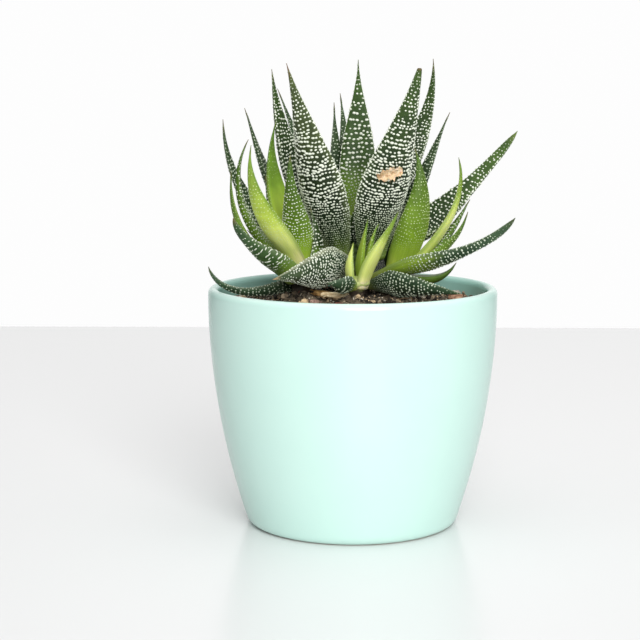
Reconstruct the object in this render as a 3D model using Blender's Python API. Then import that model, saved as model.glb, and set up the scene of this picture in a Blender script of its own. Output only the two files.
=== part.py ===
"""A potted succulent: one warty rosette with three offsets, growing in a glazed cover pot.

Lengths are metres and +Z is up. The front, as in the photograph, faces -Y. The pot stands on
Z = 0 with its axis on X = Y = 0. In the tables of leaves and chips, lengths are millimetres
and angles are degrees: azimuth 0 is the right of the picture, 90 its back and 270 its front.
"""

import math
from collections import namedtuple

import bmesh
import bpy
from mathutils import Matrix, Vector, noise

MM = 0.001
GAP = 0.3 * MM

# Cover pot: the wall is upright under the lip and curls in towards the flat foot.
POT_RADIUS = 52.5 * MM
POT_HEIGHT = 87.0 * MM
POT_DRAW_IN = 14.4 * MM
LIP_HEIGHT = 2.4 * MM
WALL = 3.8 * MM
FLOOR = 5.0 * MM
FOOT_RADIUS = 35.4 * MM
FOOT_ROUND = 1.8 * MM
POT_SIDES = 48
POT_COLOUR = (0.58, 0.86, 0.78)

# Potting mix: a rough low mound, a little under the lip. It stands off the wall a little more
# than the gap, because the wall is made of flat facets.
SOIL_CLEARANCE = 1.5 * GAP
SOIL_EDGE = 80.0 * MM
SOIL_MIDDLE = 84.0 * MM
SOIL_ROUGHNESS = 1.6 * MM
SOIL_LUMP = 7.0 * MM
SOIL_LUMP_SEED = 3.7
SOIL_RINGS = (1.0, 0.89, 0.74, 0.57, 0.38, 0.18)
SOIL_COLOUR = (0.060, 0.042, 0.034)

# Main stem. Its foot is rooted in the soil and the leaves stand round its upper part.
STEM_X = 1.0 * MM
STEM_Y = 1.0 * MM
STEM_RADIUS = 6.0 * MM
STEM_FOOT = 66.0 * MM
STEM_TOP = 111.0 * MM
STEM_SIDES = 16
STEM_COLOUR = (0.28, 0.36, 0.10)

# Every stem is thinner under the soil, as a share of its radius, and its top is a dome.
ROOT_SHARE = 0.75
STEM_NECK = SOIL_MIDDLE + 2.0 * MM
DOME_SHOULDER = 0.75
DOME_CROWN = 0.35
HOLE_TOP = POT_HEIGHT + 20.0 * MM

# Blade of every leaf, as shares of its length and width.
WIDEST = 0.32
NECK = 0.50
TAPER = 1.8
OUTER_TAPER = 0.8
BLADE_LEAST = 0.3 * MM
TIP_RADIUS = 0.12 * MM
OUTER_DEPTH = 0.33
INNER_DEPTH = 0.07
LEAST_RINGS = 4
WART_HEIGHT = 0.7 * MM
WARTS_FROM = 0.14
WARTS_TO = 0.94
WART_LIFT = 0.3
ROLLED_BY = 0.30
DARK_GREEN = (0.050, 0.100, 0.030)
LIME_GREEN = (0.25, 0.38, 0.05)

# The last value of a leaf is its fullness: the larger it is, the blunter the outer half of the
# blade. A leaf without it narrows early to a long drawn-out tip.
LEAF_FIELDS = "azimuth height stem_rise middle_rise tip_rise length width roll fullness"
Leaf = namedtuple("Leaf", LEAF_FIELDS, defaults=(0.2,))

MAIN_LEAVES = {
    "leaf_front_left": Leaf(231.5, 98.5, 76, 65.5, 66, 74, 19, 0, 0.5),
    "leaf_front_right": Leaf(305, 98, 88, 61, 75, 78, 20, 0, 1.0),
    "leaf_left_tall": Leaf(167, 104, 55, 71, 83, 66, 14, -22, 0.6),
    "leaf_left_behind": Leaf(127.5, 97, 56, 56, 55, 74, 8, 0),
    "leaf_left_back": Leaf(166, 98, 30, 62, 70, 65, 11, 0),
    "leaf_far_left": Leaf(181, 92.4, 25, 54, 90, 72, 11, -25, 0.8),
    "leaf_back_narrow": Leaf(114, 102, 63, 79, 86, 53, 8, 0),
    "leaf_back_slim": Leaf(97, 93.6, 58, 60, 37, 76, 8, 0),
    "leaf_back_middle": Leaf(86, 110, 84, 85, 100, 59, 13, 0),
    "leaf_back_right": Leaf(54, 106.5, 56, 47.5, 100, 78, 14, 0, 0.8),
    "leaf_right_back": Leaf(40.7, 103, 22, 56, 55, 62.5, 9, 0),
    "leaf_right_long": Leaf(25, 98.0, 24, 38, 47, 75, 14, 22, 3.0),
    "leaf_right_low": Leaf(330.5, 91.3, 22, 17, 49, 61, 11.5, -22, 3.5),
    "leaf_right_soil": Leaf(320, 88.5, 8, -3, -5, 41, 12, -50, 1.5),
    "leaf_over_rim": Leaf(192, 89.5, 16, -10, 82, 51, 11, 20, 2.0),
    "leaf_front_lying": Leaf(238, 94.5, 8, -2, -4, 46, 16, 65, 1.0),
    "leaf_low_back_right": Leaf(60, 89, 16, 24, 40, 48, 12, 0),
    "leaf_low_back": Leaf(102.3, 88, 8, 18, 35, 44, 10, 0),
    "leaf_low_back_left": Leaf(146.5, 88.8, 12, 20, 40, 46, 12, 0),
}
# The tip of this leaf broke off and healed blunt.
BROKEN_TIPS = {"leaf_front_right": 0.93}
MAIN_SPACING = 3.6 * MM
MAIN_COLUMNS = 12
# How far a steep leaf is seated out from the stem, as a share of the depth of its outer face.
MAIN_SEAT = 0.6

HEART_LEAVES = (
    Leaf(30, 101, 70, 84, 90, 18, 8, 0),
    Leaf(150, 101, 70, 84, 90, 15, 8, 0),
    Leaf(268, 101, 75, 86, 92, 16, 7, 0),
)

# Each offset: place of its stem, stem radius and height, then its leaves.
Offset = namedtuple("Offset", "x y radius top leaves")

OFFSETS = {
    "offset_left": Offset(
        -18.5, -13.2, 3.2, 99,
        (
            Leaf(212, 92, 55, 30, 75, 34, 16, 0, 2.0),
            Leaf(183, 93, 24, 61, 97, 46, 8, 0),
            Leaf(178, 95, 38, 69, 124, 53, 9, 0),
            Leaf(232, 97, 53, 52, 112, 51, 11, 0),
            Leaf(155, 96, 70, 64, 92, 34, 8, 0),
            Leaf(140, 97, 73, 73, 117, 52, 11, 0),
            Leaf(256, 94.5, 100, 59, 116, 44, 11, 0, 1.5),
            Leaf(338, 94, 46, 96, 102, 24, 7, 0),
        ),
    ),
    "offset_right": Offset(
        15.3, 4.7, 3.0, 95,
        (
            Leaf(262, 92, 60, 95, 105, 27, 7, 0),
            Leaf(307, 92.5, 66, 72, 130, 48, 14, 0),
            Leaf(352, 91, 46, 60, 108, 50, 9, 0, 1.0),
            Leaf(10, 91.5, 30, 47, 60, 38, 10, 0),
            Leaf(340, 91, 36, 37, 83, 36, 9, 0),
            Leaf(5, 90, 2, 9, 76, 23, 10, 0),
        ),
    ),
    "offset_front": Offset(
        1.5, -21, 2.8, 92,
        (
            Leaf(200, 90, 78, 95, 100, 15, 6, 0),
            Leaf(20, 89.5, 102, 77, 79, 24, 6, 0, 1.0),
            Leaf(10, 89.5, 80, 74, 53, 23, 6, 0),
            Leaf(335, 89, 79, 56, 65, 31, 9, 0, 1.0),
            Leaf(212, 90, 10, 5, -10, 11, 9, 40),
        ),
    ),
}
OFFSET_SPACING = 3.9 * MM
OFFSET_COLUMNS = 8
OFFSET_WART = 0.3 * MM
OFFSET_NECK = 0.78
OFFSET_SEAT = 0.5
OFFSET_ROOT = 16.0 * MM

# Pieces of bark on the soil: place, size, turn about Z and colour.
Chip = namedtuple("Chip", "x y length width depth turn tilt colour")

CHIPS = {
    "bark_chip_orange": Chip(-10.5, -11, 7, 4, 2.2, 20, 10, (0.55, 0.25, 0.07)),
    "bark_stick": Chip(-5.0, -17, 13, 2.6, 2.0, 35, 8, (0.48, 0.30, 0.14)),
    "bark_chip_red": Chip(-3.5, -27, 5, 3, 1.8, 10, 5, (0.25, 0.06, 0.04)),
    "bark_chip_pink": Chip(-13.5, -21, 5, 3.5, 2.0, 60, 10, (0.42, 0.24, 0.19)),
    "bark_chip_right": Chip(38, 6, 6, 4, 3.0, 40, 15, (0.60, 0.36, 0.22)),
}
CHIP_SIDES = 6
CHIP_SUNK = 0.35
CHIP_UNEVEN = 0.22
CHIP_BED = 2.0 * GAP

# A papery husk stuck to the outer face of one leaf.
HUSK_LEAF = "leaf_front_right"
HUSK_ALONG = 0.46
HUSK_ROUND = -115.0
HUSK_LENGTH = 9.0 * MM
HUSK_WIDTH = 4.4 * MM
HUSK_DEPTH = 0.8 * MM
HUSK_TURN = 64.0
HUSK_CURL = 4.0 * MM
HUSK_RAGGED = 0.2
HUSK_RAGS = 19.0
HUSK_STEPS = 6
HUSK_COLOUR = (0.70, 0.40, 0.22)


def clear_scene():
    for thing in list(bpy.data.objects):
        bpy.data.objects.remove(thing)


def material(name, colour, roughness):
    made = bpy.data.materials.new(name)
    made.use_nodes = True
    shader = made.node_tree.nodes["Principled BSDF"]
    shader.inputs["Base Color"].default_value = (*colour, 1.0)
    shader.inputs["Roughness"].default_value = roughness
    shader.inputs["Metallic"].default_value = 0.0
    return made


def object_from(bm, name, finish, smooth=True):
    """Turns a bmesh into an object of plain triangles with its faces turned outwards."""
    bmesh.ops.recalc_face_normals(bm, faces=bm.faces)
    bmesh.ops.triangulate(bm, faces=bm.faces)
    for face in bm.faces:
        face.smooth = smooth
    mesh = bpy.data.meshes.new(name)
    bm.to_mesh(mesh)
    bm.free()
    mesh.materials.append(finish)
    made = bpy.data.objects.new(name, mesh)
    bpy.context.scene.collection.objects.link(made)
    return made


def skin_rings(bm, rings):
    """Joins closed rings of points one after another and closes both ends."""
    made = [[bm.verts.new(point) for point in ring] for ring in rings]
    count = len(rings[0])
    for lower, upper in zip(made, made[1:]):
        for k in range(count):
            after = (k + 1) % count
            bm.faces.new((lower[k], lower[after], upper[after], upper[k]))
    for ring in (made[0], made[-1]):
        middle = bm.verts.new(sum((v.co for v in ring), Vector()) / count)
        for k in range(count):
            bm.faces.new((ring[k], ring[(k + 1) % count], middle))


def turned(profile, sides, x=0.0, y=0.0):
    """A solid of revolution. The profile is a list of (radius, height)."""
    bm = bmesh.new()
    rings = []
    for radius, height in profile:
        angles = [math.tau * k / sides for k in range(sides)]
        rings.append([Vector((x + radius * math.cos(a), y + radius * math.sin(a), height)) for a in angles])
    skin_rings(bm, rings)
    return bm


def join(name, first, others, solver="EXACT"):
    """One Boolean union of a collection with an object. The objects joined to it are removed."""
    joined = bpy.data.collections.new(name + "_parts")
    bpy.context.scene.collection.children.link(joined)
    for other in others:
        bpy.context.scene.collection.objects.unlink(other)
        joined.objects.link(other)
    union = first.modifiers.new("join", "BOOLEAN")
    union.operation = "UNION"
    union.solver = solver
    union.operand_type = "COLLECTION"
    union.collection = joined
    apply_modifiers(first)
    for other in others:
        bpy.data.objects.remove(other)
    bpy.data.collections.remove(joined)


def cut(target, cutters):
    """Cuts closed objects out of the target and removes them."""
    for cutter in cutters:
        difference = target.modifiers.new("hole", "BOOLEAN")
        difference.operation = "DIFFERENCE"
        difference.object = cutter
    apply_modifiers(target)
    for cutter in cutters:
        bpy.data.objects.remove(cutter)


def apply_modifiers(target):
    graph = bpy.context.evaluated_depsgraph_get()
    result = bpy.data.meshes.new_from_object(target.evaluated_get(graph))
    target.modifiers.clear()
    target.data = result


def wall_radius(height):
    """Outside radius of the pot at a height."""
    upper = POT_HEIGHT - LIP_HEIGHT
    fall = max(0.0, upper - height) / upper
    return POT_RADIUS - POT_DRAW_IN * fall * fall


def steps(start, end, count):
    return [start + (end - start) * k / count for k in range(count + 1)]


def make_pot():
    upper = POT_HEIGHT - LIP_HEIGHT
    outside = [(wall_radius(z), z) for z in steps(FOOT_ROUND, upper, 7)]
    lip_middle = POT_RADIUS - WALL / 2
    lip = []
    for angle in (40, 90, 140):
        turn = math.radians(angle)
        lip.append((lip_middle + WALL / 2 * math.cos(turn), upper + LIP_HEIGHT * math.sin(turn)))
    inside = [(wall_radius(z) - WALL, z) for z in steps(upper, FLOOR + FOOT_ROUND, 5)]
    profile = [(FOOT_RADIUS, 0.0), (wall_radius(0.0) - FOOT_ROUND / 2, FOOT_ROUND / 3)]
    profile += outside + lip + inside
    profile += [(wall_radius(FLOOR) - WALL - FOOT_ROUND, FLOOR)]
    return object_from(turned(profile, POT_SIDES), "pot", material("mint_glaze", POT_COLOUR, 0.25))


def soil_height(x, y):
    """Height of the rough top of the potting mix."""
    reach = math.hypot(x, y) / (POT_RADIUS - WALL)
    mound = SOIL_EDGE + (SOIL_MIDDLE - SOIL_EDGE) * (1.0 - reach * reach)
    lumps = noise.noise(Vector((x / SOIL_LUMP, y / SOIL_LUMP, SOIL_LUMP_SEED)))
    return mound + SOIL_ROUGHNESS * lumps


def make_soil():
    fit = WALL + SOIL_CLEARANCE
    profile = [(wall_radius(z) - fit, z) for z in steps(FLOOR + FOOT_ROUND, SOIL_EDGE - FOOT_ROUND, 4)]
    profile.insert(0, (wall_radius(FLOOR) - fit - FOOT_ROUND, FLOOR + GAP))
    rings = []
    angles = [math.tau * k / POT_SIDES for k in range(POT_SIDES)]
    for radius, height in profile:
        rings.append([Vector((radius * math.cos(a), radius * math.sin(a), height)) for a in angles])
    rim = profile[-1][0]
    for share in SOIL_RINGS:
        places = [(share * rim * math.cos(a), share * rim * math.sin(a)) for a in angles]
        rings.append([Vector((x, y, soil_height(x, y))) for x, y in places])
    bm = bmesh.new()
    skin_rings(bm, rings)
    return object_from(bm, "soil", material("potting_mix", SOIL_COLOUR, 0.95), smooth=False)


def stem_profile(radius, foot, top, grow=0.0):
    """A stem with a thinner root and a domed top."""
    root = ROOT_SHARE * radius + grow
    full = radius + grow
    slope = (1.0 - DOME_SHOULDER) * radius
    profile = [(0.5 * root, foot - grow), (root, foot + slope), (root, STEM_NECK - radius)]
    profile += [(full, STEM_NECK), (full, top - radius), (DOME_SHOULDER * full, top - slope)]
    profile.append((DOME_CROWN * full, top))
    return profile


def blade_width(share, fullness, neck=NECK):
    """Width at a share of the length, against the widest place."""
    if share < WIDEST:
        return neck + (1.0 - neck) * math.sin(0.5 * math.pi * share / WIDEST)
    out = (share - WIDEST) / (1.0 - WIDEST)
    drawn_out = (1.0 - out) ** TAPER * (1.0 + TAPER * out)
    return drawn_out + fullness * ((1.0 - out) - drawn_out) * out


def leaf_frames(leaf, x, y, start_radius, count):
    """Centre, side, up and along directions at even steps from the stem to the tip."""
    turn = math.radians(leaf.azimuth)
    outward = Vector((math.cos(turn), math.sin(turn), 0.0))
    side = Vector((-math.sin(turn), math.cos(turn), 0.0))
    centre = Vector((x, y, leaf.height * MM)) + outward * start_radius
    frames = []
    for i in range(count + 1):
        s = i / count
        rise = leaf.stem_rise * (1 - s) * (1 - 2 * s)
        rise += leaf.middle_rise * 4 * s * (1 - s) + leaf.tip_rise * s * (2 * s - 1)
        rise = math.radians(rise)
        along = outward * math.cos(rise) + Vector((0, 0, math.sin(rise)))
        eased = min(1.0, s / ROLLED_BY)
        rolled = Matrix.Rotation(math.radians(leaf.roll) * eased, 3, along)
        frames.append((centre.copy(), rolled @ side, rolled @ along.cross(side), along))
        centre += along * leaf.length * MM / count
    return frames


def leaf_bmesh(leaf, x, y, start_radius, spacing, columns, wart, neck=NECK, cut_at=1.0):
    """A thick blade with a rounded outer face, a flat inner face and warts as relief on both."""
    count = max(LEAST_RINGS, round(leaf.length * MM / spacing))
    frames = leaf_frames(leaf, x, y, start_radius, count)
    width = leaf.width * MM
    rings = []
    for i, (centre, side, up, along) in enumerate(frames):
        share = i / count
        if share > cut_at:
            break
        least = BLADE_LEAST if i < count else TIP_RADIUS
        wide = blade_width(share, leaf.fullness, neck)
        across = max(0.5 * width * wide, least)
        outer = max(OUTER_DEPTH * width * wide ** OUTER_TAPER, least)
        inner = max(INNER_DEPTH * width * wide, least)
        ring = []
        for k in range(columns):
            angle = math.tau * k / columns
            through = math.sin(angle)
            depth = through * (inner if through > 0 else outer)
            point = centre + side * across * math.cos(angle) + up * depth
            if WARTS_FROM < share < WARTS_TO and (i + k) % 2 == 0:
                point += (point - centre - up * WART_LIFT * depth).normalized() * wart
            ring.append(point)
        rings.append(ring)
    bm = bmesh.new()
    skin_rings(bm, rings)
    return bm


def seat_radius(leaf):
    """Distance from the axis of the main stem to the foot of a leaf's middle line."""
    lean = math.sin(math.radians(leaf.stem_rise))
    return STEM_RADIUS + GAP + MAIN_SEAT * OUTER_DEPTH * leaf.width * MM * max(0.0, lean)


def make_main_leaves():
    finish = material("leaf_dark_green", DARK_GREEN, 0.45)
    for name, leaf in MAIN_LEAVES.items():
        start = seat_radius(leaf)
        cut_at = BROKEN_TIPS.get(name, 1.0)
        bm = leaf_bmesh(leaf, STEM_X, STEM_Y, start, MAIN_SPACING, MAIN_COLUMNS, WART_HEIGHT, cut_at=cut_at)
        object_from(bm, name, finish)


def make_head(name, x, y, radius, top, foot, leaves, finish):
    """A stem with its leaves joined to it as one solid."""
    stem = object_from(turned(stem_profile(radius, foot, top), STEM_SIDES, x, y), name, finish)
    grown = []
    for index, leaf in enumerate(leaves):
        start = OFFSET_SEAT * radius
        bm = leaf_bmesh(leaf, x, y, start, OFFSET_SPACING, OFFSET_COLUMNS, OFFSET_WART, OFFSET_NECK)
        grown.append(object_from(bm, f"{name}_leaf_{index}", finish))
    join(name, stem, grown)
    return stem


def hole_for(x, y, radius, foot):
    """A cutter for the plain hole in the soil that a stem stands in."""
    profile = stem_profile(radius, foot, HOLE_TOP, grow=GAP)
    return object_from(turned(profile, STEM_SIDES, x, y), "hole", material("hole", SOIL_COLOUR, 1.0))


def make_plant():
    make_main_leaves()
    green = material("stem_green", STEM_COLOUR, 0.5)
    make_head("main_stem", STEM_X, STEM_Y, STEM_RADIUS, STEM_TOP, STEM_FOOT, HEART_LEAVES, green)
    holes = [hole_for(STEM_X, STEM_Y, STEM_RADIUS, STEM_FOOT)]
    lime = material("leaf_lime_green", LIME_GREEN, 0.45)
    for name, offset in OFFSETS.items():
        x, y, radius = offset.x * MM, offset.y * MM, offset.radius * MM
        foot = SOIL_MIDDLE - OFFSET_ROOT
        make_head(name, x, y, radius, offset.top * MM, foot, offset.leaves, lime)
        holes.append(hole_for(x, y, radius, foot))
    return holes


def chip_object(chip, name, finish, grow=0.0):
    """A rough flat chip: a slab with uneven corners."""
    bm = bmesh.new()
    rings = []
    for level in (-0.5, 0.5):
        ring = []
        for k in range(CHIP_SIDES):
            angle = math.tau * k / CHIP_SIDES
            uneven = 1.0 + CHIP_UNEVEN * math.sin(2.7 * k + chip.length) - 0.1 * level
            px = (0.5 * chip.length * MM * uneven + grow) * math.cos(angle)
            py = (0.5 * chip.width * MM * uneven + grow) * math.sin(angle)
            ring.append(Vector((px, py, level * (chip.depth * MM + 2 * grow))))
        rings.append(ring)
    skin_rings(bm, rings)
    x, y = chip.x * MM, chip.y * MM
    height = soil_height(x, y) + (0.5 - CHIP_SUNK) * chip.depth * MM
    place = Matrix.Translation((x, y, height)) @ Matrix.Rotation(math.radians(chip.turn), 4, "Z")
    bm.transform(place @ Matrix.Rotation(math.radians(chip.tilt), 4, "Y"))
    return object_from(bm, name, finish, smooth=False)


def make_chips():
    beds = []
    for name, chip in CHIPS.items():
        finish = material(name, chip.colour, 0.8)
        chip_object(chip, name, finish)
        beds.append(chip_object(chip, name + "_bed", finish, grow=CHIP_BED))
    return beds


def make_husk():
    """A curled scrap of husk that lies against the outer face of its leaf."""
    leaf = MAIN_LEAVES[HUSK_LEAF]
    count = 100
    frames = leaf_frames(leaf, STEM_X, STEM_Y, seat_radius(leaf), count)
    centre, side, up, along = frames[round(HUSK_ALONG * count)]
    wide = blade_width(HUSK_ALONG, leaf.fullness)
    depth = OUTER_DEPTH * leaf.width * MM * wide ** OUTER_TAPER
    half_width = 0.5 * leaf.width * MM * wide
    angle = math.radians(HUSK_ROUND)
    place = centre + side * half_width * math.cos(angle) + up * depth * math.sin(angle)
    outward = (side * depth * math.cos(angle) + up * half_width * math.sin(angle)).normalized()
    across = along.cross(outward)
    turn = math.radians(HUSK_TURN)
    length_way = along * math.cos(turn) + across * math.sin(turn)
    width_way = across * math.cos(turn) - along * math.sin(turn)
    origin = place + outward * (WART_HEIGHT + GAP + HUSK_DEPTH)
    bm = bmesh.new()
    rings = []
    for share in steps(-0.5, 0.5, HUSK_STEPS):
        ragged = 1.0 + HUSK_RAGGED * math.sin(HUSK_RAGS * share)
        half = 0.5 * HUSK_WIDTH * (1.0 - 2.0 * share * share) * ragged
        middle = origin + length_way * share * HUSK_LENGTH + outward * HUSK_CURL * share * share
        thin = outward * 0.5 * HUSK_DEPTH
        rings.append([
            middle - width_way * half - thin,
            middle + width_way * half - thin,
            middle + width_way * half + thin,
            middle - width_way * half + thin,
        ])
    skin_rings(bm, rings)
    object_from(bm, "husk", material("dry_husk", HUSK_COLOUR, 0.8), smooth=False)


def make_all():
    clear_scene()
    make_pot()
    holes = make_plant()
    beds = make_chips()
    cut(make_soil(), holes + beds)
    make_husk()


make_all()
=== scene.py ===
import math
import random
from collections import namedtuple

import bpy
from mathutils import Matrix, Vector, noise


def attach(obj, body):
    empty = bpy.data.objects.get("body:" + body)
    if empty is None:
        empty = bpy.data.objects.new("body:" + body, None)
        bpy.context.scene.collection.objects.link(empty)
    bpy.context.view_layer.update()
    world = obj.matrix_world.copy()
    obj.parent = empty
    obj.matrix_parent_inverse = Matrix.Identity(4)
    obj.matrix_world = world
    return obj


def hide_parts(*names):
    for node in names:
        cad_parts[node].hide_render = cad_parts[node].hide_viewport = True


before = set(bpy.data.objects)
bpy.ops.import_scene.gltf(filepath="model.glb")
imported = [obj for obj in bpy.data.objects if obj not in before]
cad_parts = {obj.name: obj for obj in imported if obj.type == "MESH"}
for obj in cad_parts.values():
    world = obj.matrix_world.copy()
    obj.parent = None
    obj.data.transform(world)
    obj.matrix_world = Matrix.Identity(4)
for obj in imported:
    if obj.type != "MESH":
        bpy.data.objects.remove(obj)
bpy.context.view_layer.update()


# Cover pot: cast earthenware, glazed mint green inside and out, its lip wiped round while wet.
# It was fired standing on its foot, so the ring that touches the table is bare clay.
MM = 0.001
POT_RADIUS = 52.5 * MM
POT_HEIGHT = 87.0 * MM
POT_DRAW_IN = 14.4 * MM
LIP_HEIGHT = 2.4 * MM
LIP_BASE = POT_HEIGHT - LIP_HEIGHT
POT_WALL = 3.8 * MM
POT_FLOOR = 5.0 * MM
FLOOR_CORNER = 4.0 * MM
FOOT_RADIUS = 35.4 * MM
FOOT_RING = 5.0 * MM
FOOT_RECESS = 0.5 * MM
FOOT_EDGE = 1.9 * MM
POT_SIDES = 160
POT_CENTRE = 6.0 * MM
HAND_WOBBLE = 0.12 * MM
GLAZE_CLOUDS = ((0.570, 0.815, 0.740, 1), (0.620, 0.855, 0.780, 1))
# Painted shade: a darker, more saturated teal for the upper inner wall, standing in for shade and light
# bounced inside the pot.
GLAZE_INNER_SHADE = (0.45, 0.80, 0.70, 1)
# Paler glaze on the lip: partly thinner glaze, partly a painted highlight.
GLAZE_LIP_THIN_AND_LIT = (0.80, 0.93, 0.88, 1)
GLAZE_SPECK = (0.16, 0.22, 0.17, 1)
BARE_CLAY = (0.72, 0.64, 0.54, 1)
INNER_SHADE_FROM = 74.0 * MM
INNER_SHADE_TO = 77.0 * MM
LIP_PALE_FROM = 85.6 * MM


def steps(start, end, count):
    return [start + (end - start) * k / count for k in range(count + 1)]


def smooth_step(low, high, value):
    share = min(1.0, max(0.0, (value - low) / (high - low)))
    return share * share * (3.0 - 2.0 * share)


def wall_radius(height):
    """Outside radius of the pot at a height."""
    fall = max(0.0, LIP_BASE - height) / LIP_BASE
    return POT_RADIUS - POT_DRAW_IN * fall * fall


def skinned(rings):
    """Points and faces of rings joined one after another, closed at both ends."""
    count = len(rings[0])
    points = [point for ring in rings for point in ring]
    faces = []
    for i in range(len(rings) - 1):
        for k in range(count):
            low, high = i * count, (i + 1) * count
            after = (k + 1) % count
            faces.append((low + k, low + after, high + after, high + k))
    first, last = 0, (len(rings) - 1) * count
    points.append(sum(rings[0], Vector()) / count)
    points.append(sum(rings[-1], Vector()) / count)
    for k in range(count):
        after = (k + 1) % count
        faces.append((first + after, first + k, len(points) - 2))
        faces.append((last + k, last + after, len(points) - 1))
    return points, faces


def mesh_piece(name, points, faces, *finishes, edges=()):
    mesh = bpy.data.meshes.new(name)
    mesh.from_pydata(points, edges, faces)
    mesh.shade_smooth()
    for finish in finishes:
        mesh.materials.append(finish)
    made = bpy.data.objects.new(name, mesh)
    bpy.context.scene.collection.objects.link(made)
    return made


def add(tree, kind, inputs=None, **settings):
    """A node with its settings, and its inputs given as values or as the sockets that feed them."""
    node = tree.nodes.new(kind)
    for key, value in settings.items():
        setattr(node, key, value)
    for key, value in (inputs or {}).items():
        if isinstance(value, bpy.types.NodeSocket):
            tree.links.new(value, node.inputs[key])
        else:
            node.inputs[key].default_value = value
    return node


def mixed(tree, share, first, second, how="MIX"):
    """Mixes two colours, which are inputs 6 and 7 of the node and its output 2."""
    inputs = {0: share, 6: first, 7: second}
    return add(tree, "ShaderNodeMix", inputs, data_type="RGBA", blend_type=how).outputs[2]


def math_of(tree, operation, *values):
    return add(tree, "ShaderNodeMath", dict(enumerate(values)), operation=operation).outputs[0]


def ranged(tree, value, low, high, to_low=0.0, to_high=1.0):
    """Turns a value between two limits smoothly into one between two others."""
    inputs = {0: value, 1: low, 2: high, 3: to_low, 4: to_high}
    return add(tree, "ShaderNodeMapRange", inputs, interpolation_type="SMOOTHSTEP").outputs[0]


def shader_group(name, inputs, outputs):
    """A shader node group with named inputs and outputs, and the sockets that give its inputs."""
    group = bpy.data.node_groups.new(name, "ShaderNodeTree")
    for way, sockets in (("INPUT", inputs), ("OUTPUT", outputs)):
        for label, kind in sockets.items():
            group.interface.new_socket(label, in_out=way, socket_type="NodeSocket" + kind)
    return group, add(group, "NodeGroupInput").outputs


def put_out(group, results):
    """Joins what a group has worked out to its named outputs."""
    outputs = add(group, "NodeGroupOutput").inputs
    for label, socket in results.items():
        group.links.new(socket, outputs[label])
    return group


def mottle_group():
    """Clouds in glaze, clay, flesh or wood: their amount at a place, and the patches between two limits."""
    group, given = shader_group("mottle_clouds", {
        "Where": "Vector", "Scale": "Float", "Detail": "Float", "Coarseness": "Float",
        "Patch From": "Float", "Patch To": "Float", "Least": "Float", "Most": "Float",
    }, {"Amount": "Float", "Patches": "Float"})
    clouds = add(group, "ShaderNodeTexNoise", {
        "Vector": given["Where"],
        "Scale": given["Scale"],
        "Detail": given["Detail"],
        "Roughness": given["Coarseness"],
    }).outputs["Fac"]
    patches = ranged(group, clouds, *(given[name] for name in ("Patch From", "Patch To", "Least", "Most")))
    return put_out(group, {"Amount": clouds, "Patches": patches})


MOTTLE_CLOUDS = mottle_group()


def mottled(tree, where, scale, detail=4.0, coarseness=0.55, patches=(0.0, 1.0, 0.0, 1.0)):
    """Places the clouds in a material. Their patches are given by the limits that ranged takes."""
    values = {"Where": where, "Scale": scale, "Detail": detail, "Coarseness": coarseness}
    values.update(zip(("Patch From", "Patch To", "Least", "Most"), patches))
    return add(tree, "ShaderNodeGroup", values, node_tree=MOTTLE_CLOUDS).outputs


def mottle(tree, where, scale, detail=4.0, coarseness=0.55):
    return mottled(tree, where, scale, detail, coarseness)["Amount"]


def shader_finish(name):
    """A material with its node tree and its shader."""
    made = bpy.data.materials.new(name)
    made.use_nodes = True
    return made, made.node_tree, made.node_tree.nodes["Principled BSDF"]


def bumped(tree, shader, height, strength, distance):
    """Relief that only the light sees."""
    bump = add(tree, "ShaderNodeBump", {"Strength": strength, "Distance": distance, "Height": height})
    tree.links.new(bump.outputs["Normal"], shader.inputs["Normal"])


mint_glaze, tree, shader = shader_finish("mint_glaze")
where = add(tree, "ShaderNodeTexCoord").outputs["Object"]
split = add(tree, "ShaderNodeSeparateXYZ", {0: where}).outputs
glaze = mixed(tree, mottle(tree, where, 35.0), *GLAZE_CLOUDS)
flat = add(tree, "ShaderNodeCombineXYZ", {"X": split["X"], "Y": split["Y"]}).outputs[0]
from_axis = add(tree, "ShaderNodeVectorMath", {0: flat}, operation="LENGTH").outputs["Value"]
# Painted shade inside the pot: the inner wall above the soil is tinted a darker teal.
inner = ranged(tree, from_axis, POT_RADIUS - 0.70 * POT_WALL, POT_RADIUS - 0.50 * POT_WALL, 1.0, 0.0)
inner_shade = math_of(tree, "MULTIPLY", inner, ranged(tree, split["Z"], INNER_SHADE_FROM, INNER_SHADE_TO))
glaze = mixed(tree, inner_shade, glaze, GLAZE_INNER_SHADE)
# Paler towards the top of the lip: partly thinner glaze where the lip was wiped, partly a painted highlight.
thin_and_lit_lip = ranged(tree, split["Z"], LIP_PALE_FROM, POT_HEIGHT + 0.2 * MM)
glaze = mixed(tree, math_of(tree, "MULTIPLY", thin_and_lit_lip, 0.35), glaze, GLAZE_LIP_THIN_AND_LIT)
speck_cells = add(tree, "ShaderNodeTexVoronoi", {"Vector": where, "Scale": 120.0}).outputs
speck_small = ranged(tree, speck_cells["Distance"], 0.030, 0.055, 1.0, 0.0)
speck_few = ranged(tree, speck_cells["Color"], 0.80, 0.82)
speck = math_of(tree, "MULTIPLY", speck_small, speck_few)
glaze = mixed(tree, math_of(tree, "MULTIPLY", speck, 0.6), glaze, GLAZE_SPECK)
bare = ranged(tree, split["Z"], 0.15 * MM, 0.45 * MM, 1.0, 0.0)
glaze = mixed(tree, bare, glaze, BARE_CLAY)
tree.links.new(glaze, shader.inputs["Base Color"])
sheen = mottled(tree, where, 90.0, patches=(0.3, 0.7, 0.20, 0.27))["Patches"]
sheen = math_of(tree, "MAXIMUM", sheen, math_of(tree, "MULTIPLY", bare, 0.85))
tree.links.new(sheen, shader.inputs["Roughness"])
bumped(tree, shader, mottle(tree, where, 120.0, 2.0), 0.05, 0.4 * MM)
shader.inputs["IOR"].default_value = 1.5

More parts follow.
